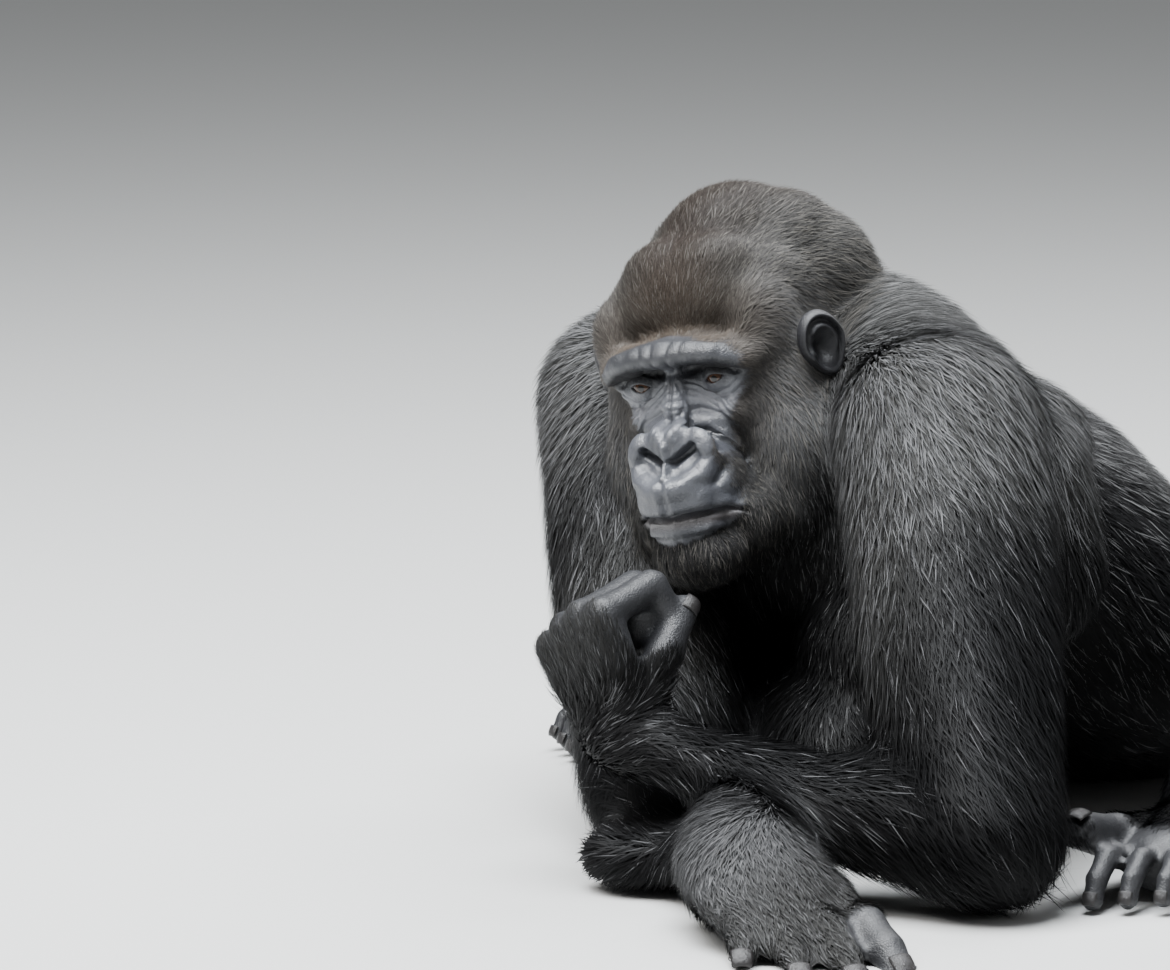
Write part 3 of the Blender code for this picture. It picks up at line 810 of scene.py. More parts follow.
# %% Finer mesh on the face
def refined(thing, chosen):
    """Split every edge between two chosen points, which makes the faces there a quarter."""
    work = bmesh.new()
    work.from_mesh(thing.data)
    work.verts.ensure_lookup_table()
    edges = [e for e in work.edges if chosen[e.verts[0].index] and chosen[e.verts[1].index]]
    bmesh.ops.subdivide_edges(work, edges=edges, cuts=1)
    bmesh.ops.triangulate(work, faces=[f for f in work.faces if len(f.verts) > 3])
    work.to_mesh(thing.data)
    work.free()
    return thing


EYE_AT = (0.037, -0.094, 0.0015)
EYE_RADIUS = 0.0125


def near_line(flat, line):
    """Distance from points (x, z) to a line of points (x, z)."""
    best = np.full(len(flat), 9.0)
    for start, end in zip(line, line[1:]):
        start, along = np.array(start), np.array(end) - np.array(start)
        share = np.clip((flat - start) @ along / max(along @ along, 1e-12), 0, 1)
        best = np.minimum(best, np.linalg.norm(flat - start - share[:, None] * along, axis=1))
    return best


def eye_gap(local):
    """Distance to the nearer eye's centre."""
    return np.minimum(*(gap_to(local, mirrored(EYE_AT, side)) for side in (1, -1)))


def profile(local):
    """Places in the head's own axes as (distance from the middle line, height)."""
    return np.stack((np.abs(local[:, 0]), local[:, 2]), axis=1)


points, normals = arrays_of(skin.data)
skin = refined(skin, bare_face(in_head(points)) > -0.004)
skin = smoothed(skin, "Face", (bare_face(in_head(arrays_of(skin.data)[0])) > -0.004) * 1.0, 3)
points, normals = arrays_of(skin.data)
local = in_head(points)
flat = profile(local)
front = local[:, 1] < -0.07
core = [(0.01, 0.004), (0.02, -0.035), (0.026, -0.06), (0.02, -0.09), (0.034, -0.11),
    (0.056, -0.117)]
centre = near_line(flat, core) < 0.021
skin = refined(skin, front & (centre | (eye_gap(local) < 0.024)))
points, normals = arrays_of(skin.data)
skin = refined(skin, (in_head(points)[:, 1] < -0.09) & (eye_gap(in_head(points)) < 0.0165))
finer = step_up(bare_face(in_head(arrays_of(skin.data)[0])), 0, 0.004)
skin = smoothed(skin, "Face", finer, 3)
print("skin:", len(skin.data.polygons), "triangles")

# %% [markdown]
# Now the strokes: a line, its width and its height, all in millimetres. Each line is given for
# the left half of the face as (x, z) in the head's own axes; the right half mirrors it.

# %% Work the face
STROKES = [
    # the ring of the nose, the furrow round it and the notch in its top
    ([(0, -41), (12, -35), (26, -36), (36, -47), (38, -62),
    (31, -76), (14, -83), (0, -83)], 7.8, 6.2),
    ([(0, -26), (20, -23), (38, -30), (49, -48), (50, -66),
    (42, -84)], 3.6, -4),
    ([(0, -24), (0, -40)], 4.5, -5),
    ([(6, -36), (10, -42)], 1.6, -1.2),
    # the wall between the nostrils, and the groove of the lip
    ([(0, -50), (0, -76)], 3.6, 4.6),
    ([(0, -80), (0, -102)], 2.6, -2),
    ([(6, -84), (7, -102)], 3, 1),
    # folds that start between the eyes and sweep out round the nose
    ([(0, 10), (0, -14), (0, -24)], 2.2, -2.6),
    ([(6, 2), (12, -10), (13, -20)], 1.8, -1.5),
    ([(12, -2), (24, -12), (38, -19), (48, -32)], 1.8, -2.1),
    ([(12, 2), (26, -8.5), (42, -15), (54, -28)], 1.6, -1.8),
    ([(13, -7.5), (24, -16.5), (36, -24)], 1.7, -1.6),
    ([(12, 0), (25, -10), (40, -17), (51, -30)], 2, 1.2),
    ([(0, -4), (7, -6)], 1.4, -1.2),
    ([(0, -11), (9, -13)], 1.4, -1.2),
    ([(0, -18), (10, -20)], 1.4, -1.2),
    # frown lines that run up over the brow
    ([(5, 14), (7, 30), (11, 44)], 2.2, -1.4),
    ([(15, 16), (19, 32), (26, 44)], 2.2, -0.8),
    # the shelf of the brow and the hollow under it
    ([(0, 27), (24, 28), (48, 24), (66, 13)], 8, 7),
    ([(12, 11), (28, 14), (46, 13), (60, 6)], 4.2, -5),
    ([(10, 47), (34, 48), (56, 39)], 2.2, -1),
    # folds over and under the eye
    ([(24, 9), (37, 12.5), (50, 9), (57, 3)], 1.3, -1.2),
    ([(24, -8), (36, -12), (49, -9.5), (57, -4)], 1.3, -1.2),
    ([(36, -16.5), (52, -15), (62, -8)], 1.6, -1.4),
    ([(44, -22.5), (58, -20), (66, -14)], 1.8, -1.2),
    ([(60, 4), (70, 8)], 1.8, -1.4),
    ([(59, -2), (70, -3)], 1.8, -1.4),
    # the fold from the nose to the corner of the mouth
    ([(51, -50), (53, -72), (59, -100)], 5, -2.2),
    ([(42, -86), (48, -104)], 3.6, -1.6),
    # the mouth, its lips and the dent over the chin
    ([(0, -109.5), (20, -108.5), (40, -110), (54, -115)],
    1.9, -6.5),
    ([(0, -103.5), (24, -102.5), (44, -104.5)], 4.8, 2),
    ([(0, -115), (22, -114), (40, -116)], 3.6, 2.4),
    ([(0, -130), (26, -129), (44, -130)], 6, -3.4),
]
NOSTRIL = [(0.0055, -0.0635), (0.013, -0.0585), (0.0235, -0.052)]
NOSTRIL_FLOOR = [(0.009, -0.069), (0.019, -0.064), (0.024, -0.059)]


def shape_face(points, normals):
    local = in_head(points)
    facing = normals @ head_axes
    front = step_up(-facing[:, 1], 0.05, 0.35) * step_up(-local[:, 1], 0.07, 0.085)
    flat = profile(local)
    lift = np.zeros(len(points))
    for line, width, height in STROKES:
        away = near_line(flat, [mm(spot) for spot in line])
        lift += height / 1000 * np.exp(-(away / (width / 1000)) ** 2)
    local = local + facing * (lift * front)[:, None]
    deep = step_up(-local[:, 1], 0.115, 0.13)
    slit = np.exp(-(near_line(flat, NOSTRIL) / 0.004) ** 4)
    basin = np.exp(-(near_line(flat, NOSTRIL_FLOOR) / 0.0066) ** 4)
    local[:, 1] += (0.013 * slit + 0.0055 * basin * (1 - slit)) * deep
    return local


def wrap_lids(local, side):
    """Lay the skin round one eyeball, with an almond opening where it dives behind it."""
    from_eye = local - np.array(mirrored(EYE_AT, side))
    reach = np.linalg.norm(from_eye, axis=1)
    way = from_eye / (reach[:, None] + 1e-9)
    out, rise = way[:, 0] * side, way[:, 2]
    tilt = 0.02 + 0.1 * out
    shape = 1 - (out / 0.72) ** 2
    outside = np.maximum(rise - tilt - 0.24 * shape, tilt - 0.34 * shape - rise)
    lid = 0.8 + 0.34 * step_up(outside, -0.055, 0.055) + 0.22 * np.clip(outside, 0, 1) ** 2
    spread = np.hypot(out, rise)
    pull = (1 - step_up(spread, 0.72, 0.95)) * (way[:, 1] < 0.1) * step_up(-reach, -0.03, -0.024)
    shell = reach / EYE_RADIUS * (1 - pull) + lid * pull
    buried = (outside > 0) & (reach < EYE_RADIUS * 2)
    shell = np.where(buried, np.maximum(shell, 1.12), shell)
    return np.array(mirrored(EYE_AT, side)) + way * (EYE_RADIUS * shell)[:, None]


points, normals = arrays_of(skin.data)
local = shape_face(points, normals)
for side in (1, -1):
    local = wrap_lids(local, side)
points = local @ head_axes.T + np.array(HEAD_AT)
skin.data.shade_smooth()
set_points(skin.data, points)
print("strokes:", len(STROKES), "on each half of the face")

# %% [markdown]
# ## Marks on the skin
# The skin remembers what the coat needs: how the hair lies, how long and thick it is, and its
# colour. The same colours also tint the skin, so that no bald gap shows between the tufts.
# It is unfolded once onto a flat map, as a furrier would cut a pelt.

# %% Store the fields and unfold the skin
def store(mesh, name, kind, values, domain="POINT"):
    """Keep an array of values on a mesh as a named attribute."""
    slot_name = {"FLOAT": "value", "INT": "value", "FLOAT_VECTOR": "vector",
        "FLOAT_COLOR": "color"}[kind]
    attribute = mesh.attributes.new(name, kind, domain)
    dtype = np.int32 if kind == "INT" else np.float32
    attribute.data.foreach_set(slot_name, np.ascontiguousarray(values, dtype=dtype).ravel())


points, normals = arrays_of(skin.data)
coat = coat_at(points, normals)
colour4 = np.concatenate((coat["colour"], np.ones((len(points), 1))), axis=1)
local = in_head(points)
flat = profile(local)
store(skin.data, "coat_lie", "FLOAT_VECTOR", coat["lie"])
for what in ("length", "thick", "grey"):
    store(skin.data, "coat_" + what, "FLOAT", coat[what])
store(skin.data, "coat_colour", "FLOAT_COLOR", colour4)


def band(line, width):
    """1 along a line on the face, fading to 0 over a width; both in millimetres."""
    return np.exp(-(near_line(flat, [mm(spot) for spot in line]) / (width / 1000)) ** 2)


on_face = coat["face"] > -0.01
front = (local[:, 1] < -0.06) * on_face
lip = band([(0, -115), (22, -114), (44, -116)], 5) * (local[:, 1] < -0.1) * on_face
# Painted shade, partly real dark skin: the hollow over each eye and the brow ridge are made darker
# where shade falls under and over the brow.
socket = band([(18, 10), (36, 13), (58, 8)], 12)
brow = band([(0, 34), (58, 34)], 13)
# Painted sheen: a pale band under each eye stands in for the reflection of the bright sky on the
# creased skin there.
under_eye_sheen = band([(18, -14), (40, -22), (54, -12)], 11)
# Off the face the bare skin is darker still: partly the own black skin of hands and feet, partly
# painted shade.
on_limb = (coat["face"] < -0.02) * 0.88
store(skin.data, "lip", "FLOAT", lip)
store(skin.data, "dark_skin_and_painted_shade", "FLOAT", np.maximum(np.maximum(socket, brow * 0.8) * front, on_limb))
store(skin.data, "painted_sheen", "FLOAT", under_eye_sheen * front * 0.8)

bpy.context.view_layer.objects.active = skin
skin.select_set(True)
bpy.ops.object.mode_set(mode="EDIT")
bpy.ops.mesh.select_all(action="SELECT")
bpy.ops.uv.smart_project(angle_limit=radians(60), island_margin=0.002)
bpy.ops.object.mode_set(mode="OBJECT")
skin.select_set(False)
skin.data.uv_layers[0].name = "SkinMap"
print("unfolded into", len(skin.data.loops), "corners")

# %% [markdown]
# ## How much coat goes where
# Hair covers the head most densely, with short fine tufts, and the limbs and the back with
# longer ones. Each group of the body gets a budget of triangles. It is shared out by area and
# by how thick the coat is there, and then cut into pieces of about the same size.

# %% Share out the tufts
TUFT_FACES = 3         # triangles in one tuft
GROUPS = {             # triangles, pieces, and the finish they belong to
    "head": (400000, 3, "coat_brown"), "trunk": (440000, 3, "coat_grey"),
    "arms": (430000, 3, "coat_black"), "legs": (210000, 2, "coat_black")}
GROUP_OF_PART = [0, 1, 1] + [2, 2, 3, 3, 3] * 2 + [2, 2]

mesh = skin.data
corners = np.empty(len(mesh.polygons) * 3, np.int32)
mesh.polygons.foreach_get("vertices", corners)
corners = corners.reshape(-1, 3)
middles = points[corners].mean(1)
edges1 = points[corners[:, 1]] - points[corners[:, 0]]
edges2 = points[corners[:, 2]] - points[corners[:, 0]]
area = np.linalg.norm(np.cross(edges1, edges2), axis=1) / 2
gaps = [skin_gap(middles, *bone) for *bone, anchors in parts_of_body]
group_of_face = np.array(GROUP_OF_PART)[np.argmin(np.array(gaps), axis=0)]
length = coat["length"][corners].mean(1)
thick = coat["thick"][corners].mean(1)
thick = np.where(thick > 0.08, thick, 0)
below = step_up(-normals[corners].mean(1)[:, 2], 0.3, 0.8)
wish = area * thick * (1 - 0.6 * below) / np.clip(length, 0.01, 0.06) ** 0.8
density = np.zeros(len(area))
piece_of_face = np.full(len(area), -1)
piece_names = []
for number, (group, (budget, pieces, slot)) in enumerate(GROUPS.items()):
    chosen = np.nonzero(group_of_face == number)[0]
    scale = budget / TUFT_FACES / wish[chosen].sum()
    density[chosen] = wish[chosen] * scale / area[chosen]
    order = chosen[np.argsort(middles[chosen][:, 1 if group != "arms" else 0])]
    running = np.cumsum(wish[order]) / wish[order].sum()
    for part in range(pieces):
        inside = (running > part / pieces) & (running <= (part + 1) / pieces)
        piece_of_face[order[inside]] = len(piece_names)
        piece_names.append((f"coat_{group}_{part + 1}", slot))
store(mesh, "coat_piece", "INT", piece_of_face, "FACE")
store(mesh, "coat_density", "FLOAT", density, "FACE")
print("pieces of coat:", len(piece_names), "haired area:", round(float(area[thick > 0].sum()), 2))

# %% [markdown]
# ## Tufts, planted by a node tree
# One tuft is a thin strip that narrows to a point. Geometry Nodes scatters roots over the
# skin, lays a tuft along the hair's direction at each, bends it to follow the curve of the
# body, and lifts its tip as high as the coat is deep. The same tree makes every piece, with
# other inputs, and ends as plain mesh.

# %% The tree that plants the coat
def lock_shape(name, stations):
    """A strip along Y with its width given at each station, and a pointed tip."""
    along = [share for share, wide in stations for _ in (0, 1)] + [1.0]
    across = [wide * half for share, wide in stations for half in (-0.5, 0.5)] + [0.0]
    faces = []
    for number in range(len(stations) - 1):
        a = number * 2
        faces += [(a, a + 1, a + 3), (a, a + 3, a + 2)]
    last = len(stations) * 2
    faces.append((last - 2, last - 1, last))
    shape = mesh_of(name, np.array([(x, y, 0) for x, y in zip(across, along)]), np.array(faces))
    store(shape, "along", "FLOAT", along)
    store(shape, "across", "FLOAT", across)
    thing = in_scene(name, shape)
    thing.hide_render = True
    return thing


lock = lock_shape("Lock", [(0.0, 0.9), (0.5, 1.0)])


class Tree:
    """A thin helper for wiring nodes: add() makes one and fills or links its inputs."""

    def __init__(self, tree):
        self.tree = tree

    def add(self, kind, inputs=None, **settings):
        made = self.tree.nodes.new(kind)
        for key, value in settings.items():
            setattr(made, key, value)
        for key, value in (inputs or {}).items():
            if isinstance(value, bpy.types.NodeSocket):
                self.tree.links.new(value, made.inputs[key])
            else:
                made.inputs[key].default_value = value
        return made

    def math(self, operation, a, b=0.0, c=0.0):
        return self.add("ShaderNodeMath", {0: a, 1: b, 2: c}, operation=operation).outputs[0]

    def vector(self, operation, a, b=(0, 0, 0), scale=None):
        inputs = {0: a, 1: b}
        if scale is not None:
            inputs = {0: a, "Scale": scale}
        made = self.add("ShaderNodeVectorMath", inputs, operation=operation)
        return made.outputs["Value" if operation == "DOT_PRODUCT" else "Vector"]

    def named(self, name, kind="FLOAT"):
        made = self.add("GeometryNodeInputNamedAttribute", {"Name": name}, data_type=kind)
        return made.outputs["Attribute"]

    def times(self, a, b):
        return self.math("MULTIPLY", a, b)

    def times_plus(self, a, b, c):
        return self.math("MULTIPLY_ADD", a, b, c)

    def arrow(self, name):
        return self.named(name, "FLOAT_VECTOR")

    def plus(self, start, way, scale):
        return self.vector("ADD", start, self.vector("SCALE", way, scale=scale))

    def link(self, value, node, name):
        self.tree.links.new(value, node.inputs[name])

    def keep(self, geometry, name, value, kind="FLOAT", domain="POINT"):
        made = self.add("GeometryNodeStoreNamedAttribute",
            {"Geometry": geometry, "Name": name, "Value": value},
            data_type=kind, domain=domain)
        return made.outputs["Geometry"]

    def chance(self, low, high, seed):
        made = self.add("FunctionNodeRandomValue", {2: low, 3: high, "Seed": seed},
            data_type="FLOAT")
        return made.outputs[1]


def coat_tree():
    group = bpy.data.node_groups.new("Coat", "GeometryNodeTree")
    for name, kind in (("Geometry", "Geometry"), ("Skin", "Object"), ("Lock", "Object"),
            ("Piece", "Int"), ("Width", "Float"), ("Width by length", "Float"),
            ("Loft", "Float"), ("Scatter", "Float"), ("Seed", "Int"),
            ("Finish", "Material")):
        group.interface.new_socket(name, in_out="INPUT", socket_type="NodeSocket" + kind)
    group.interface.new_socket("Geometry", in_out="OUTPUT", socket_type="NodeSocketGeometry")
    t = Tree(group)
    given = t.add("NodeGroupInput").outputs
    skin_mesh, lock_mesh = (
        t.add("GeometryNodeObjectInfo", {"Object": given[name]}).outputs["Geometry"]
        for name in ("Skin", "Lock"))
    here = t.add("FunctionNodeCompare", {2: t.named("coat_piece", "INT"), 3: given["Piece"]},
        data_type="INT", operation="EQUAL").outputs[0]
    roots = t.add("GeometryNodeDistributePointsOnFaces",
        {"Mesh": skin_mesh, "Selection": here, "Density": t.named("coat_density"),
        "Seed": given["Seed"]}, distribute_method="RANDOM")
    position = t.add("GeometryNodeInputPosition").outputs[0]
    wave = t.add("ShaderNodeTexNoise", {"Vector": position, "Scale": 30.0, "Detail": 2.0})
    wave = t.vector("SUBTRACT", wave.outputs["Color"], (0.5, 0.5, 0.5))
    stray = t.add("FunctionNodeRandomValue", {0: (-1, -1, -1), 1: (1, 1, 1), "Seed": 11},
        data_type="FLOAT_VECTOR").outputs[0]
    way = t.plus(t.arrow("coat_lie"), t.plus(stray, wave, 3.2), given["Scatter"])
    normal = roots.outputs["Normal"]
    inward = t.vector("SCALE", normal, scale=t.vector("DOT_PRODUCT", way, normal))
    way = t.vector("NORMALIZE", t.vector("SUBTRACT", way, inward))
    side_way = t.vector("CROSS_PRODUCT", way, normal)
    long = t.times(t.named("coat_length"), t.chance(0.65, 1.25, 3))
    wide = t.times_plus(long, given["Width by length"], given["Width"])
    wide = t.times(wide, t.chance(0.55, 1.35, 4))
    high = t.times(t.times(long, given["Loft"]), t.chance(0.45, 1.25, 5))
    points = t.keep(roots.outputs["Points"], "t_root", position, "FLOAT_VECTOR")
    sway = t.times(long, t.chance(-0.22, 0.22, 6))
    for name, along, scale in (("t_way", way, long), ("t_side", side_way, wide),
            ("t_sway", side_way, sway)):
        points = t.keep(points, name, t.vector("SCALE", along, scale=scale), "FLOAT_VECTOR")
    points = t.keep(points, "t_high", high)
    points = t.keep(points, "t_map", t.arrow("SkinMap"), "FLOAT_VECTOR")
    points = t.keep(points, "lock_chance", t.chance(0.0, 1.0, 7))
    planted = t.add("GeometryNodeInstanceOnPoints", {"Points": points, "Instance": lock_mesh})
    solid = t.add("GeometryNodeRealizeInstances", {0: planted.outputs[0]}).outputs[0]
    along, across = t.named("along"), t.named("across")
    spot = t.plus(t.arrow("t_root"), t.arrow("t_way"), along)
    spot = t.plus(spot, t.arrow("t_side"), across)
    spot = t.plus(spot, t.arrow("t_sway"), t.times(along, along))
    near = {}
    for what, kind in ((position, "place"), (t.add("GeometryNodeInputNormal").outputs[0], "up")):
        made = t.add("GeometryNodeSampleNearestSurface",
            {"Mesh": skin_mesh, "Value": what, "Sample Position": spot},
            data_type="FLOAT_VECTOR")
        near[kind] = made.outputs["Value"]
    rise = t.times(t.named("t_high"), t.math("POWER", along, 0.8))
    rise = t.math("ADD", rise, -0.0005)
    where = t.plus(near["place"], near["up"], rise)
    where = t.vector("MAXIMUM", where, (-10.0, -10.0, HAIR_FLOOR))
    solid = t.add("GeometryNodeSetPosition", {"Geometry": solid, "Position": where}).outputs[0]
    patch = t.add("ShaderNodeCombineXYZ", {0: across, 1: along}).outputs[0]
    patch = t.plus(t.arrow("t_map"), patch, 0.003)
    solid = t.keep(solid, "OFBake", patch, "FLOAT2", "CORNER")
    for spent in ("t_*", "coat_l*", "coat_p*", "coat_d*", "coat_t*", "SkinMap", "lip", "across"):
        clean = t.add("GeometryNodeRemoveAttribute", {"Geometry": solid, "Name": spent},
            pattern_mode="WILDCARD")
        solid = clean.outputs[0]
    solid = t.add("GeometryNodeSetShadeSmooth", {"Geometry": solid}).outputs[0]
    done = t.add("GeometryNodeSetMaterial", {"Geometry": solid, "Material": given["Finish"]})
    t.add("NodeGroupOutput", {0: done.outputs[0]})
    return group


coat_nodes = coat_tree()
print("nodes in the coat tree:", len(coat_nodes.nodes))

# %% [markdown]
# ## Shared effects
# Two effects are used by more than one finish, so each is a small node group of its own.
# Grizzle gives a hair its colour: some hairs have pale tips, as an old male's do, and every
# hair is darker at its root. Leather gives bare skin its fine creases and pores.

# %% Node groups for the finishes
def effect_group(name, inputs, outputs):
    group = bpy.data.node_groups.new(name, "ShaderNodeTree")
    for label, kind, value in inputs:
        socket = group.interface.new_socket(label, in_out="INPUT", socket_type="NodeSocket" + kind)
        socket.default_value = value
    for label, kind in outputs:
        group.interface.new_socket(label, in_out="OUTPUT", socket_type="NodeSocket" + kind)
    return group, Tree(group)


def mix_colours(t, share, a, b):
    a, b = ((*colour, 1) if isinstance(colour, tuple) else colour for colour in (a, b))
    return t.add("ShaderNodeMix", {0: share, 6: a, 7: b}, data_type="RGBA").outputs[2]


def noise(t, place, scale, detail, output="Fac"):
    made = t.add("ShaderNodeTexNoise", {"Vector": place, "Scale": scale, "Detail": detail})
    return made.outputs[output]


def cracks(t, place, scale, steepness):
    """0 along the edges of cells and 1 inside them."""
    made = t.add("ShaderNodeTexVoronoi", {"Vector": place, "Scale": scale},
        feature="DISTANCE_TO_EDGE")
    return t.math("MINIMUM", t.times(made.outputs["Distance"], steepness), 1.0)


grizzle, t = effect_group("Grizzle", [
    ("Colour", "Color", (0.02, 0.02, 0.02, 1)), ("Tip colour", "Color", (0.4, 0.4, 0.4, 1)),
    ("Grey share", "Float", 0.3), ("Chance", "Float", 0.5), ("Along", "Float", 0.5)],
    [("Colour", "Color")])
given = t.add("NodeGroupInput").outputs
second = t.math("FRACT", t.times(given["Chance"], 17.31))
shade = t.times_plus(second, 0.5, 0.75)
shade = t.times(shade, t.times_plus(given["Along"], 0.45, 0.6))
base = t.vector("SCALE", given["Colour"], scale=shade)
pale = t.math("LESS_THAN", given["Chance"], t.times(given["Grey share"], 0.75))
pale = t.times(pale, t.math("POWER", given["Along"], 0.9))
pale = t.times(pale, t.times_plus(second, 0.6, 0.4))
t.add("NodeGroupOutput", {0: mix_colours(t, pale, base, given["Tip colour"])})

leather, t = effect_group("Leather", [
    ("Scale", "Float", 420.0), ("Crease", "Float", 0.6)],
    [("Height", "Float"), ("Wear", "Float")])
given = t.add("NodeGroupInput").outputs
place = t.add("ShaderNodeTexCoord").outputs["Object"]
bent = t.plus(place, noise(t, place, 60.0, 3.0, "Color"), 0.006)
cells = cracks(t, bent, given["Scale"], 4.0)
wide_cells = cracks(t, bent, t.times(given["Scale"], 0.32), 5.0)
height = t.times_plus(wide_cells, given["Crease"], cells)
height = t.times_plus(noise(t, place, 140.0, 4.0), 0.8, height)
t.add("NodeGroupOutput", {0: height, 1: noise(t, place, 28.0, 4.0)})
print("shared effects:", grizzle.name, "and", leather.name)

# %% [markdown]
# ## Finishes for skin and coat
# Gorilla skin is black with a blue-grey shine where it is bare, because it is oily and finely creased.
# The face also carries painted shade in the eye hollows and over the brow, and a painted blue-grey
# sheen under the eyes. The hands and feet are darkened, partly for their own black skin and partly as
# painted shade. Under the coat it takes the colour of the hair. Hair is a matt dark fibre with a soft
# shine along it.

# %% Skin and coat materials
def finish_tree(name, roughness, specular):
    material, shader = principled(name, roughness, specular)
    return material, shader, Tree(material.node_tree)


def attribute(t, name, output="Fac"):
    return t.add("ShaderNodeAttribute", attribute_name=name).outputs[output]


def skin_finish(name, bare, palest, haired, scale=430.0, rough=(0.3, 0.46)):
    material, shader, t = finish_tree(name, rough[0], 0.45)
    grain = t.add("ShaderNodeGroup", node_tree=leather)
    grain.inputs["Scale"].default_value = scale
    tone = mix_colours(t, grain.outputs["Wear"], bare, palest)
    gloss = t.times_plus(grain.outputs["Wear"], rough[1] - rough[0], rough[0])
    if haired:
        dark, thick = attribute(t, "dark_skin_and_painted_shade"), attribute(t, "coat_thick")
        tone = mix_colours(t, attribute(t, "lip"), tone, (0.085, 0.078, 0.08))
        # Near-black mix: painted shade in the eye hollows and over the brow, and darker hands and
        # feet, partly painted shade.
        tone = mix_colours(t, dark, tone, (0.01, 0.01, 0.011))
        # Pale blue-grey mix under the eyes: a painted reflection of the light on the creased skin.
        tone = mix_colours(t, attribute(t, "painted_sheen"), tone, (0.17, 0.175, 0.195))
        under = t.vector("SCALE", attribute(t, "coat_colour", "Color"), scale=0.45)
        tone = mix_colours(t, thick, tone, under)
        gloss = t.times_plus(thick, 0.3, gloss)
        gloss = t.times_plus(dark, 0.1, gloss)
        shine = t.times_plus(thick, -0.66, 0.75)
        shine = t.times_plus(dark, -0.3, shine)
        t.link(shine, shader, "Specular IOR Level")
    t.link(tone, shader, "Base Color")
    t.link(gloss, shader, "Roughness")
    bump = t.add("ShaderNodeBump", {"Height": grain.outputs["Height"], "Distance": 0.0006,
        "Strength": 0.35})
    t.link(bump.outputs["Normal"], shader, "Normal")
    return material


def coat_finish(name, tip, shine):
    material, shader, t = finish_tree(name, 0.55, shine)
    colour = t.add("ShaderNodeGroup", node_tree=grizzle)
    for label, source, output in (("Colour", "coat_colour", "Color"), ("Along", "along", "Fac"),
            ("Grey share", "coat_grey", "Fac"),
            ("Chance", "lock_chance", "Fac")):
        t.link(attribute(t, source, output), colour, label)
    colour.inputs["Tip colour"].default_value = (*tip, 1)
    t.link(colour.outputs["Colour"], shader, "Base Color")
    return material


skin_material = skin_finish("Skin", (0.034, 0.036, 0.042), (0.072, 0.075, 0.086), True)
coat_materials = {
    "coat_brown": coat_finish("Coat of the head", (0.125, 0.116, 0.103), 0.1),
    "coat_grey": coat_finish("Coat of the back", (0.15, 0.15, 0.15), 0.1),
    "coat_black": coat_finish("Coat of the limbs", (0.14, 0.14, 0.144), 0.09)}
skin.data.materials.clear()
skin.data.materials.append(skin_material)
skin.data.polygons.foreach_set("material_index", np.zeros(len(skin.data.polygons), np.int32))
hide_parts(*FLESH_NODES)
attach(skin, "root")
print("finishes:", len(coat_materials) + 1)

# %% [markdown]
# ## Grow the coat
# Each piece of the coat is the tree run once with its own part of the skin. The result is
# kept as plain mesh, so it no longer needs the tree. Hair that would reach into the floor is
# laid on top of it instead.

# %% Plant every piece
LOOK = {"head": (0.00042, 0.016, LOFT * 1.1, 0.2), "trunk": (0.0006, 0.015, LOFT, 0.16),
    "arms": (0.0006, 0.012, LOFT, 0.16), "legs": (0.0007, 0.016, LOFT, 0.16)}
for number, (name, slot) in enumerate(piece_names):
    piece = in_scene(name, bpy.data.meshes.new(name))
    grow = piece.modifiers.new("Coat", "NODES")
    grow.node_group = coat_nodes
    width, widen, loft, scatter = LOOK[name.split("_")[1]]
    values = {"Skin": skin, "Lock": lock, "Piece": number, "Width": width,
        "Width by length": widen, "Loft": loft, "Scatter": scatter, "Seed": 100 + number,
        "Finish": coat_materials[slot]}
    for item in coat_nodes.interface.items_tree:
        if item.item_type == "SOCKET" and item.in_out == "INPUT" and item.name in values:
            grow[item.identifier] = values[item.name]
    piece = applied(piece)
    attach(piece, "root")
    print(name, len(piece.data.polygons), "triangles")
bpy.data.objects.remove(lock, do_unlink=True)

# %% [markdown]
# ## Eyes
# A gorilla's eye is almost all brown: a chestnut iris, a black pupil, and a dark white of the
# eye that shows only at the corners. The clear front bulges a little and is always wet, so it
# carries a bright glint. Each eye is a closed ball that the lids wrap.

# %% Eyeballs
def grid_faces(rows, columns, first=0):
    """Quads of a grid that is closed round in its columns."""
    faces = []
    for row in range(rows - 1):
        for column in range(columns):
            right = (column + 1) % columns
            faces.append((first + row * columns + column, first + row * columns + right,
                first + (row + 1) * columns + right, first + (row + 1) * columns + column))
    return faces


def tidy_mesh(name, points, faces):
    """A mesh with its doubles merged and its faces turned outwards."""
    work = bmesh.new()
    verts = [work.verts.new(point) for point in points]
    for face in faces:
        work.faces.new([verts[index] for index in face])
    bmesh.ops.remove_doubles(work, verts=work.verts, dist=1e-6)
    bmesh.ops.recalc_face_normals(work, faces=work.faces)
    mesh = bpy.data.meshes.new(name)
    work.to_mesh(mesh)
    work.free()
    mesh.shade_smooth()
    return mesh


GAZE = Vector((0.1, -1.0, -0.06)).normalized()
IRIS_ANGLE = radians(31)


def eye_finish():
    """Rings of colour round the pupil; each ring starts and ends at an angle from the gaze."""
    material, shader, t = finish_tree("Eye", 0.1, 0.5)
    fibre = noise(t, t.add("ShaderNodeTexCoord").outputs["Object"], 900.0, 3.0)
    iris = mix_colours(t, fibre, (0.02, 0.008, 0.003), (0.065, 0.025, 0.009))
    colour = (0.002, 0.002, 0.002)
    for start, end, ring in ((0.2, 0.25, iris), (0.46, 0.56, (0.02, 0.01, 0.007)),
            (0.7, 1.05, (0.024, 0.016, 0.013))):
        share = t.add("ShaderNodeMapRange", {0: attribute(t, "polar"), 1: start, 2: end})
        colour = mix_colours(t, share.outputs[0], colour, ring)
    t.link(colour, shader, "Base Color")
    return material


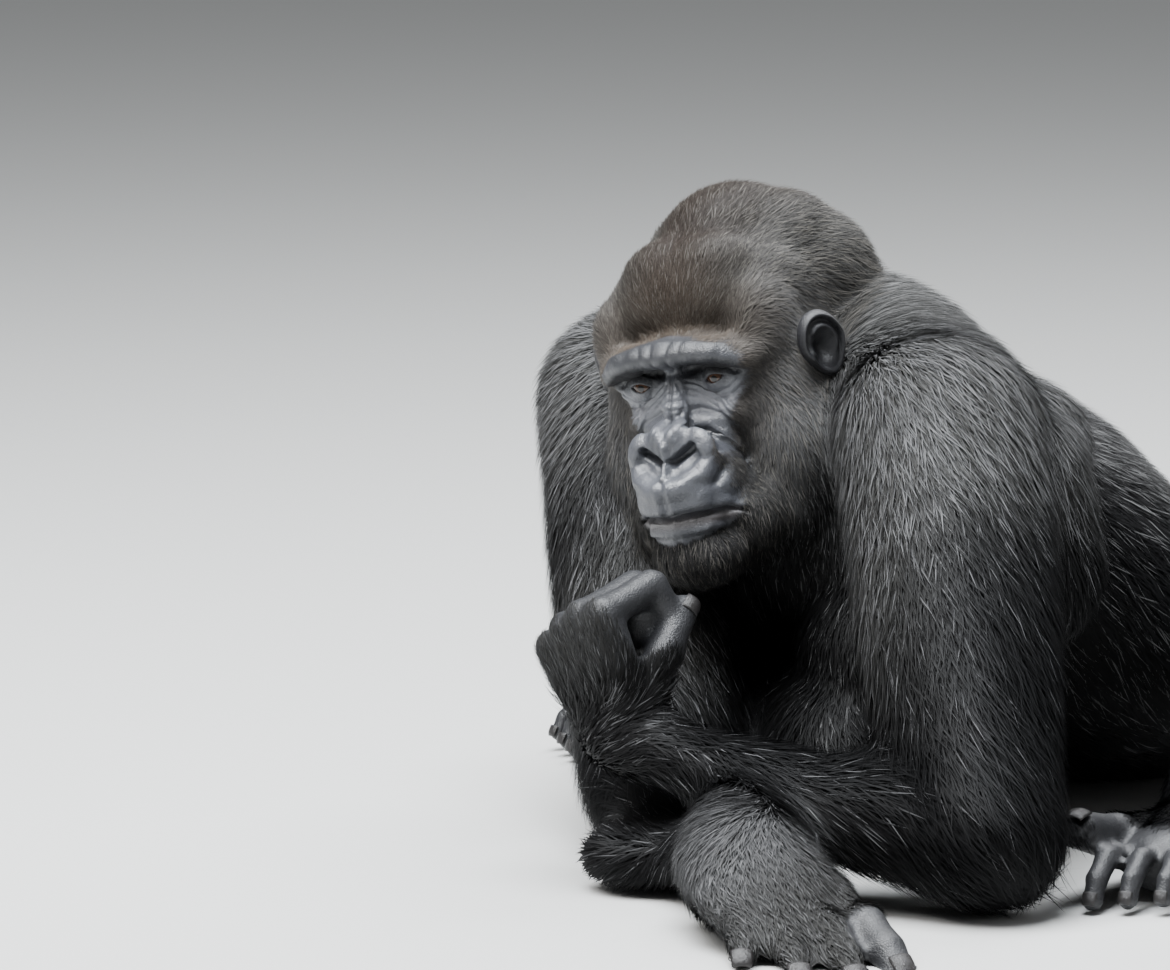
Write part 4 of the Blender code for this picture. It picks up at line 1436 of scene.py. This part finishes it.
eye_material = eye_finish()
turn = GAZE.to_track_quat("Z", "Y").to_matrix()
rows, columns = 40, 48
for side in (1, -1):
    middle = Vector(mirrored(EYE_AT, side))
    ball_points = []
    for row in range(rows):
        polar = pi * row / (rows - 1)
        bulge = max(0.0, 1 - (polar / IRIS_ANGLE) ** 2)
        reach = EYE_RADIUS * (1 + 0.05 * bulge)
        for column in range(columns):
            round_it = 2 * pi * column / columns
            way = Vector((sin(polar) * cos(round_it), sin(polar) * sin(round_it), cos(polar)))
            ball_points.append(head_frame @ (middle + turn @ (way * reach)))
    mesh = tidy_mesh("eye", ball_points, grid_faces(rows, columns))
    eye = in_scene("eyeball_" + SIDE_NAME[side], mesh)
    ways = in_head(arrays_of(mesh)[0]) - np.array(middle)
    ways /= np.linalg.norm(ways, axis=1)[:, None]
    gaze = np.array(turn @ Vector((0, 0, 1)))
    store(mesh, "polar", "FLOAT", np.arccos(np.clip(ways @ gaze, -1, 1)))
    mesh.materials.append(eye_material)
    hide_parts("eye_" + SIDE_NAME[side])
    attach(eye, "root")
print("eyes of radius", EYE_RADIUS)

# %% [markdown]
# ## Ears
# For so big a head the ears are small, black and bare. A rolled rim runs round the top and
# back, a second ridge lies inside it, and both frame the deep bowl that leads to the ear
# hole. The front face is a disc of rings with those ridges, and the back is a plain dome.

# %% Ears
EAR_HALF = (0.0225, 0.032)     # half width and half height


def ear_height(share, angle, y, z):
    """How far the front of the ear stands out at one spot."""
    open_part = 1 / (1 + np.exp(-(sin(angle) + 0.55) * 8))
    rim = 0.0048 * np.exp(-((share - 0.87) / 0.085) ** 2) * (0.3 + 0.7 * open_part)
    groove = -0.0022 * np.exp(-((share - 0.7) / 0.07) ** 2) * open_part
    inner = 0.0034 * np.exp(-((share - 0.54) / 0.09) ** 2) * open_part * (cos(angle) > -0.6)
    bowl = -0.0105 * np.exp(-(((y + 0.003) / 0.0085) ** 2 + ((z + 0.003) / 0.011) ** 2))
    flap = 0.0055 * np.exp(-(((y + 0.0145) / 0.004) ** 2 + ((z + 0.004) / 0.006) ** 2))
    return 0.002 + 0.003 * (1 - share ** 2) + rim + groove + inner + bowl + flap


ear_material = skin_finish("Ear", (0.008, 0.008, 0.009), (0.024, 0.024, 0.027), False, 700.0)
for side in (1, -1):
    lean = (Matrix.Rotation(radians(EAR_TURN[side] * side), 3, "Z")
        @ Matrix.Rotation(radians(8 * side), 3, "Y") @ Matrix.Rotation(radians(20), 3, "X"))
    middle = Vector(EAR_AT[side]) + lean @ Vector((0.007 * side, 0.002, 0))
    rings, columns = 22, 56
    front, rear = [], []
    for ring in range(rings + 1):
        share = ring / rings
        for column in range(columns):
            angle = 2 * pi * column / columns
            narrow = 1 - 0.28 * max(0.0, -sin(angle))
            y = EAR_HALF[0] * share * cos(angle) * narrow
            z = EAR_HALF[1] * share * sin(angle)
            height = ear_height(share, angle, y, z) if ring < rings else 0.0
            depth = -0.014 * max(0.0, 1 - share ** 2) ** 0.5
            for group, x in ((front, height), (rear, depth)):
                group.append(head_frame @ (middle + lean @ Vector((x * side, y, z))))
    ear_points = front + rear
    faces = grid_faces(rings + 1, columns) + grid_faces(rings + 1, columns, len(front))
    ear = in_scene("outer_ear_" + SIDE_NAME[side], tidy_mesh("ear", ear_points, faces))
    ear.data.materials.append(ear_material)
    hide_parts("ear_" + SIDE_NAME[side])
    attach(ear, "root")
print("ears:", len(ear.data.polygons), "faces each")

# %% [markdown]
# ## Nails
# Gorillas have flat nails like ours, dark and slightly arched. Each one is a thin curved plate
# let into the back of a fingertip or toe, and all twenty are one piece. Some fingertips press
# on the floor, so what would go into it there is squashed flat.

# %% Nails
NAIL_START, NAIL_SPAN = -0.45, 1.12     # along the nail, as shares of the finger's radius
NAIL_ARCH = 38         # half the arch of a nail, in degrees round the finger


def nail_plate(tip, way, radius, dorsal, points, faces):
    """One arched plate with a thickness, added to the lists."""
    way = Vector(way).normalized()
    dorsal = (Vector(dorsal) - way * way.dot(Vector(dorsal))).normalized()
    across = way.cross(dorsal)
    first, rows, columns = len(points), 8, 9
    for lift in (0.0006, -0.001):
        for row in range(rows):
            y = radius * (NAIL_START + NAIL_SPAN * row / (rows - 1))
            squeeze = max(0.05, 1 - (y / (NAIL_SPAN * radius)) ** 2 if y > 0 else 1.0) ** 0.5
            for column in range(columns):
                angle = radians(-NAIL_ARCH + 2 * NAIL_ARCH * column / (columns - 1))
                reach = (radius * squeeze + lift)
                points.append(Vector(tip) + way * y + dorsal * reach * cos(angle)
                    + across * reach * sin(angle))
    layer = rows * columns
    for row in range(rows - 1):
        for column in range(columns - 1):
            a = first + row * columns + column
            quad = (a, a + 1, a + columns + 1, a + columns)
            faces.append(quad)
            faces.append(tuple(index + layer for index in reversed(quad)))
    ring = [first + c for c in range(columns)]
    ring += [first + r * columns + columns - 1 for r in range(1, rows)]
    ring += [first + (rows - 1) * columns + c for c in range(columns - 2, -1, -1)]
    ring += [first + r * columns for r in range(rows - 2, 0, -1)]
    for a, b in zip(ring, ring[1:] + ring[:1]):
        faces.append((b, a, a + layer, b + layer))


nail_points, nail_faces = [], []
for tip, way, radius, dorsal in nail_places:
    nail_plate(tip, way, radius * 0.97, dorsal, nail_points, nail_faces)
PRESS = 0.002          # over this height, what would go into the floor is pressed against it
for point in nail_points:
    if point.z < HAIR_FLOOR + PRESS:
        point.z = HAIR_FLOOR + PRESS * float(np.exp((point.z - HAIR_FLOOR - PRESS) / PRESS))
nails = in_scene("nails", tidy_mesh("nails", nail_points, nail_faces))
nails.data.materials.append(skin_finish("Nail", (0.01, 0.009, 0.009), (0.024, 0.022, 0.022),
    False, 900.0, (0.28, 0.4)))
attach(nails, "root")
print("nails:", len(nail_places))
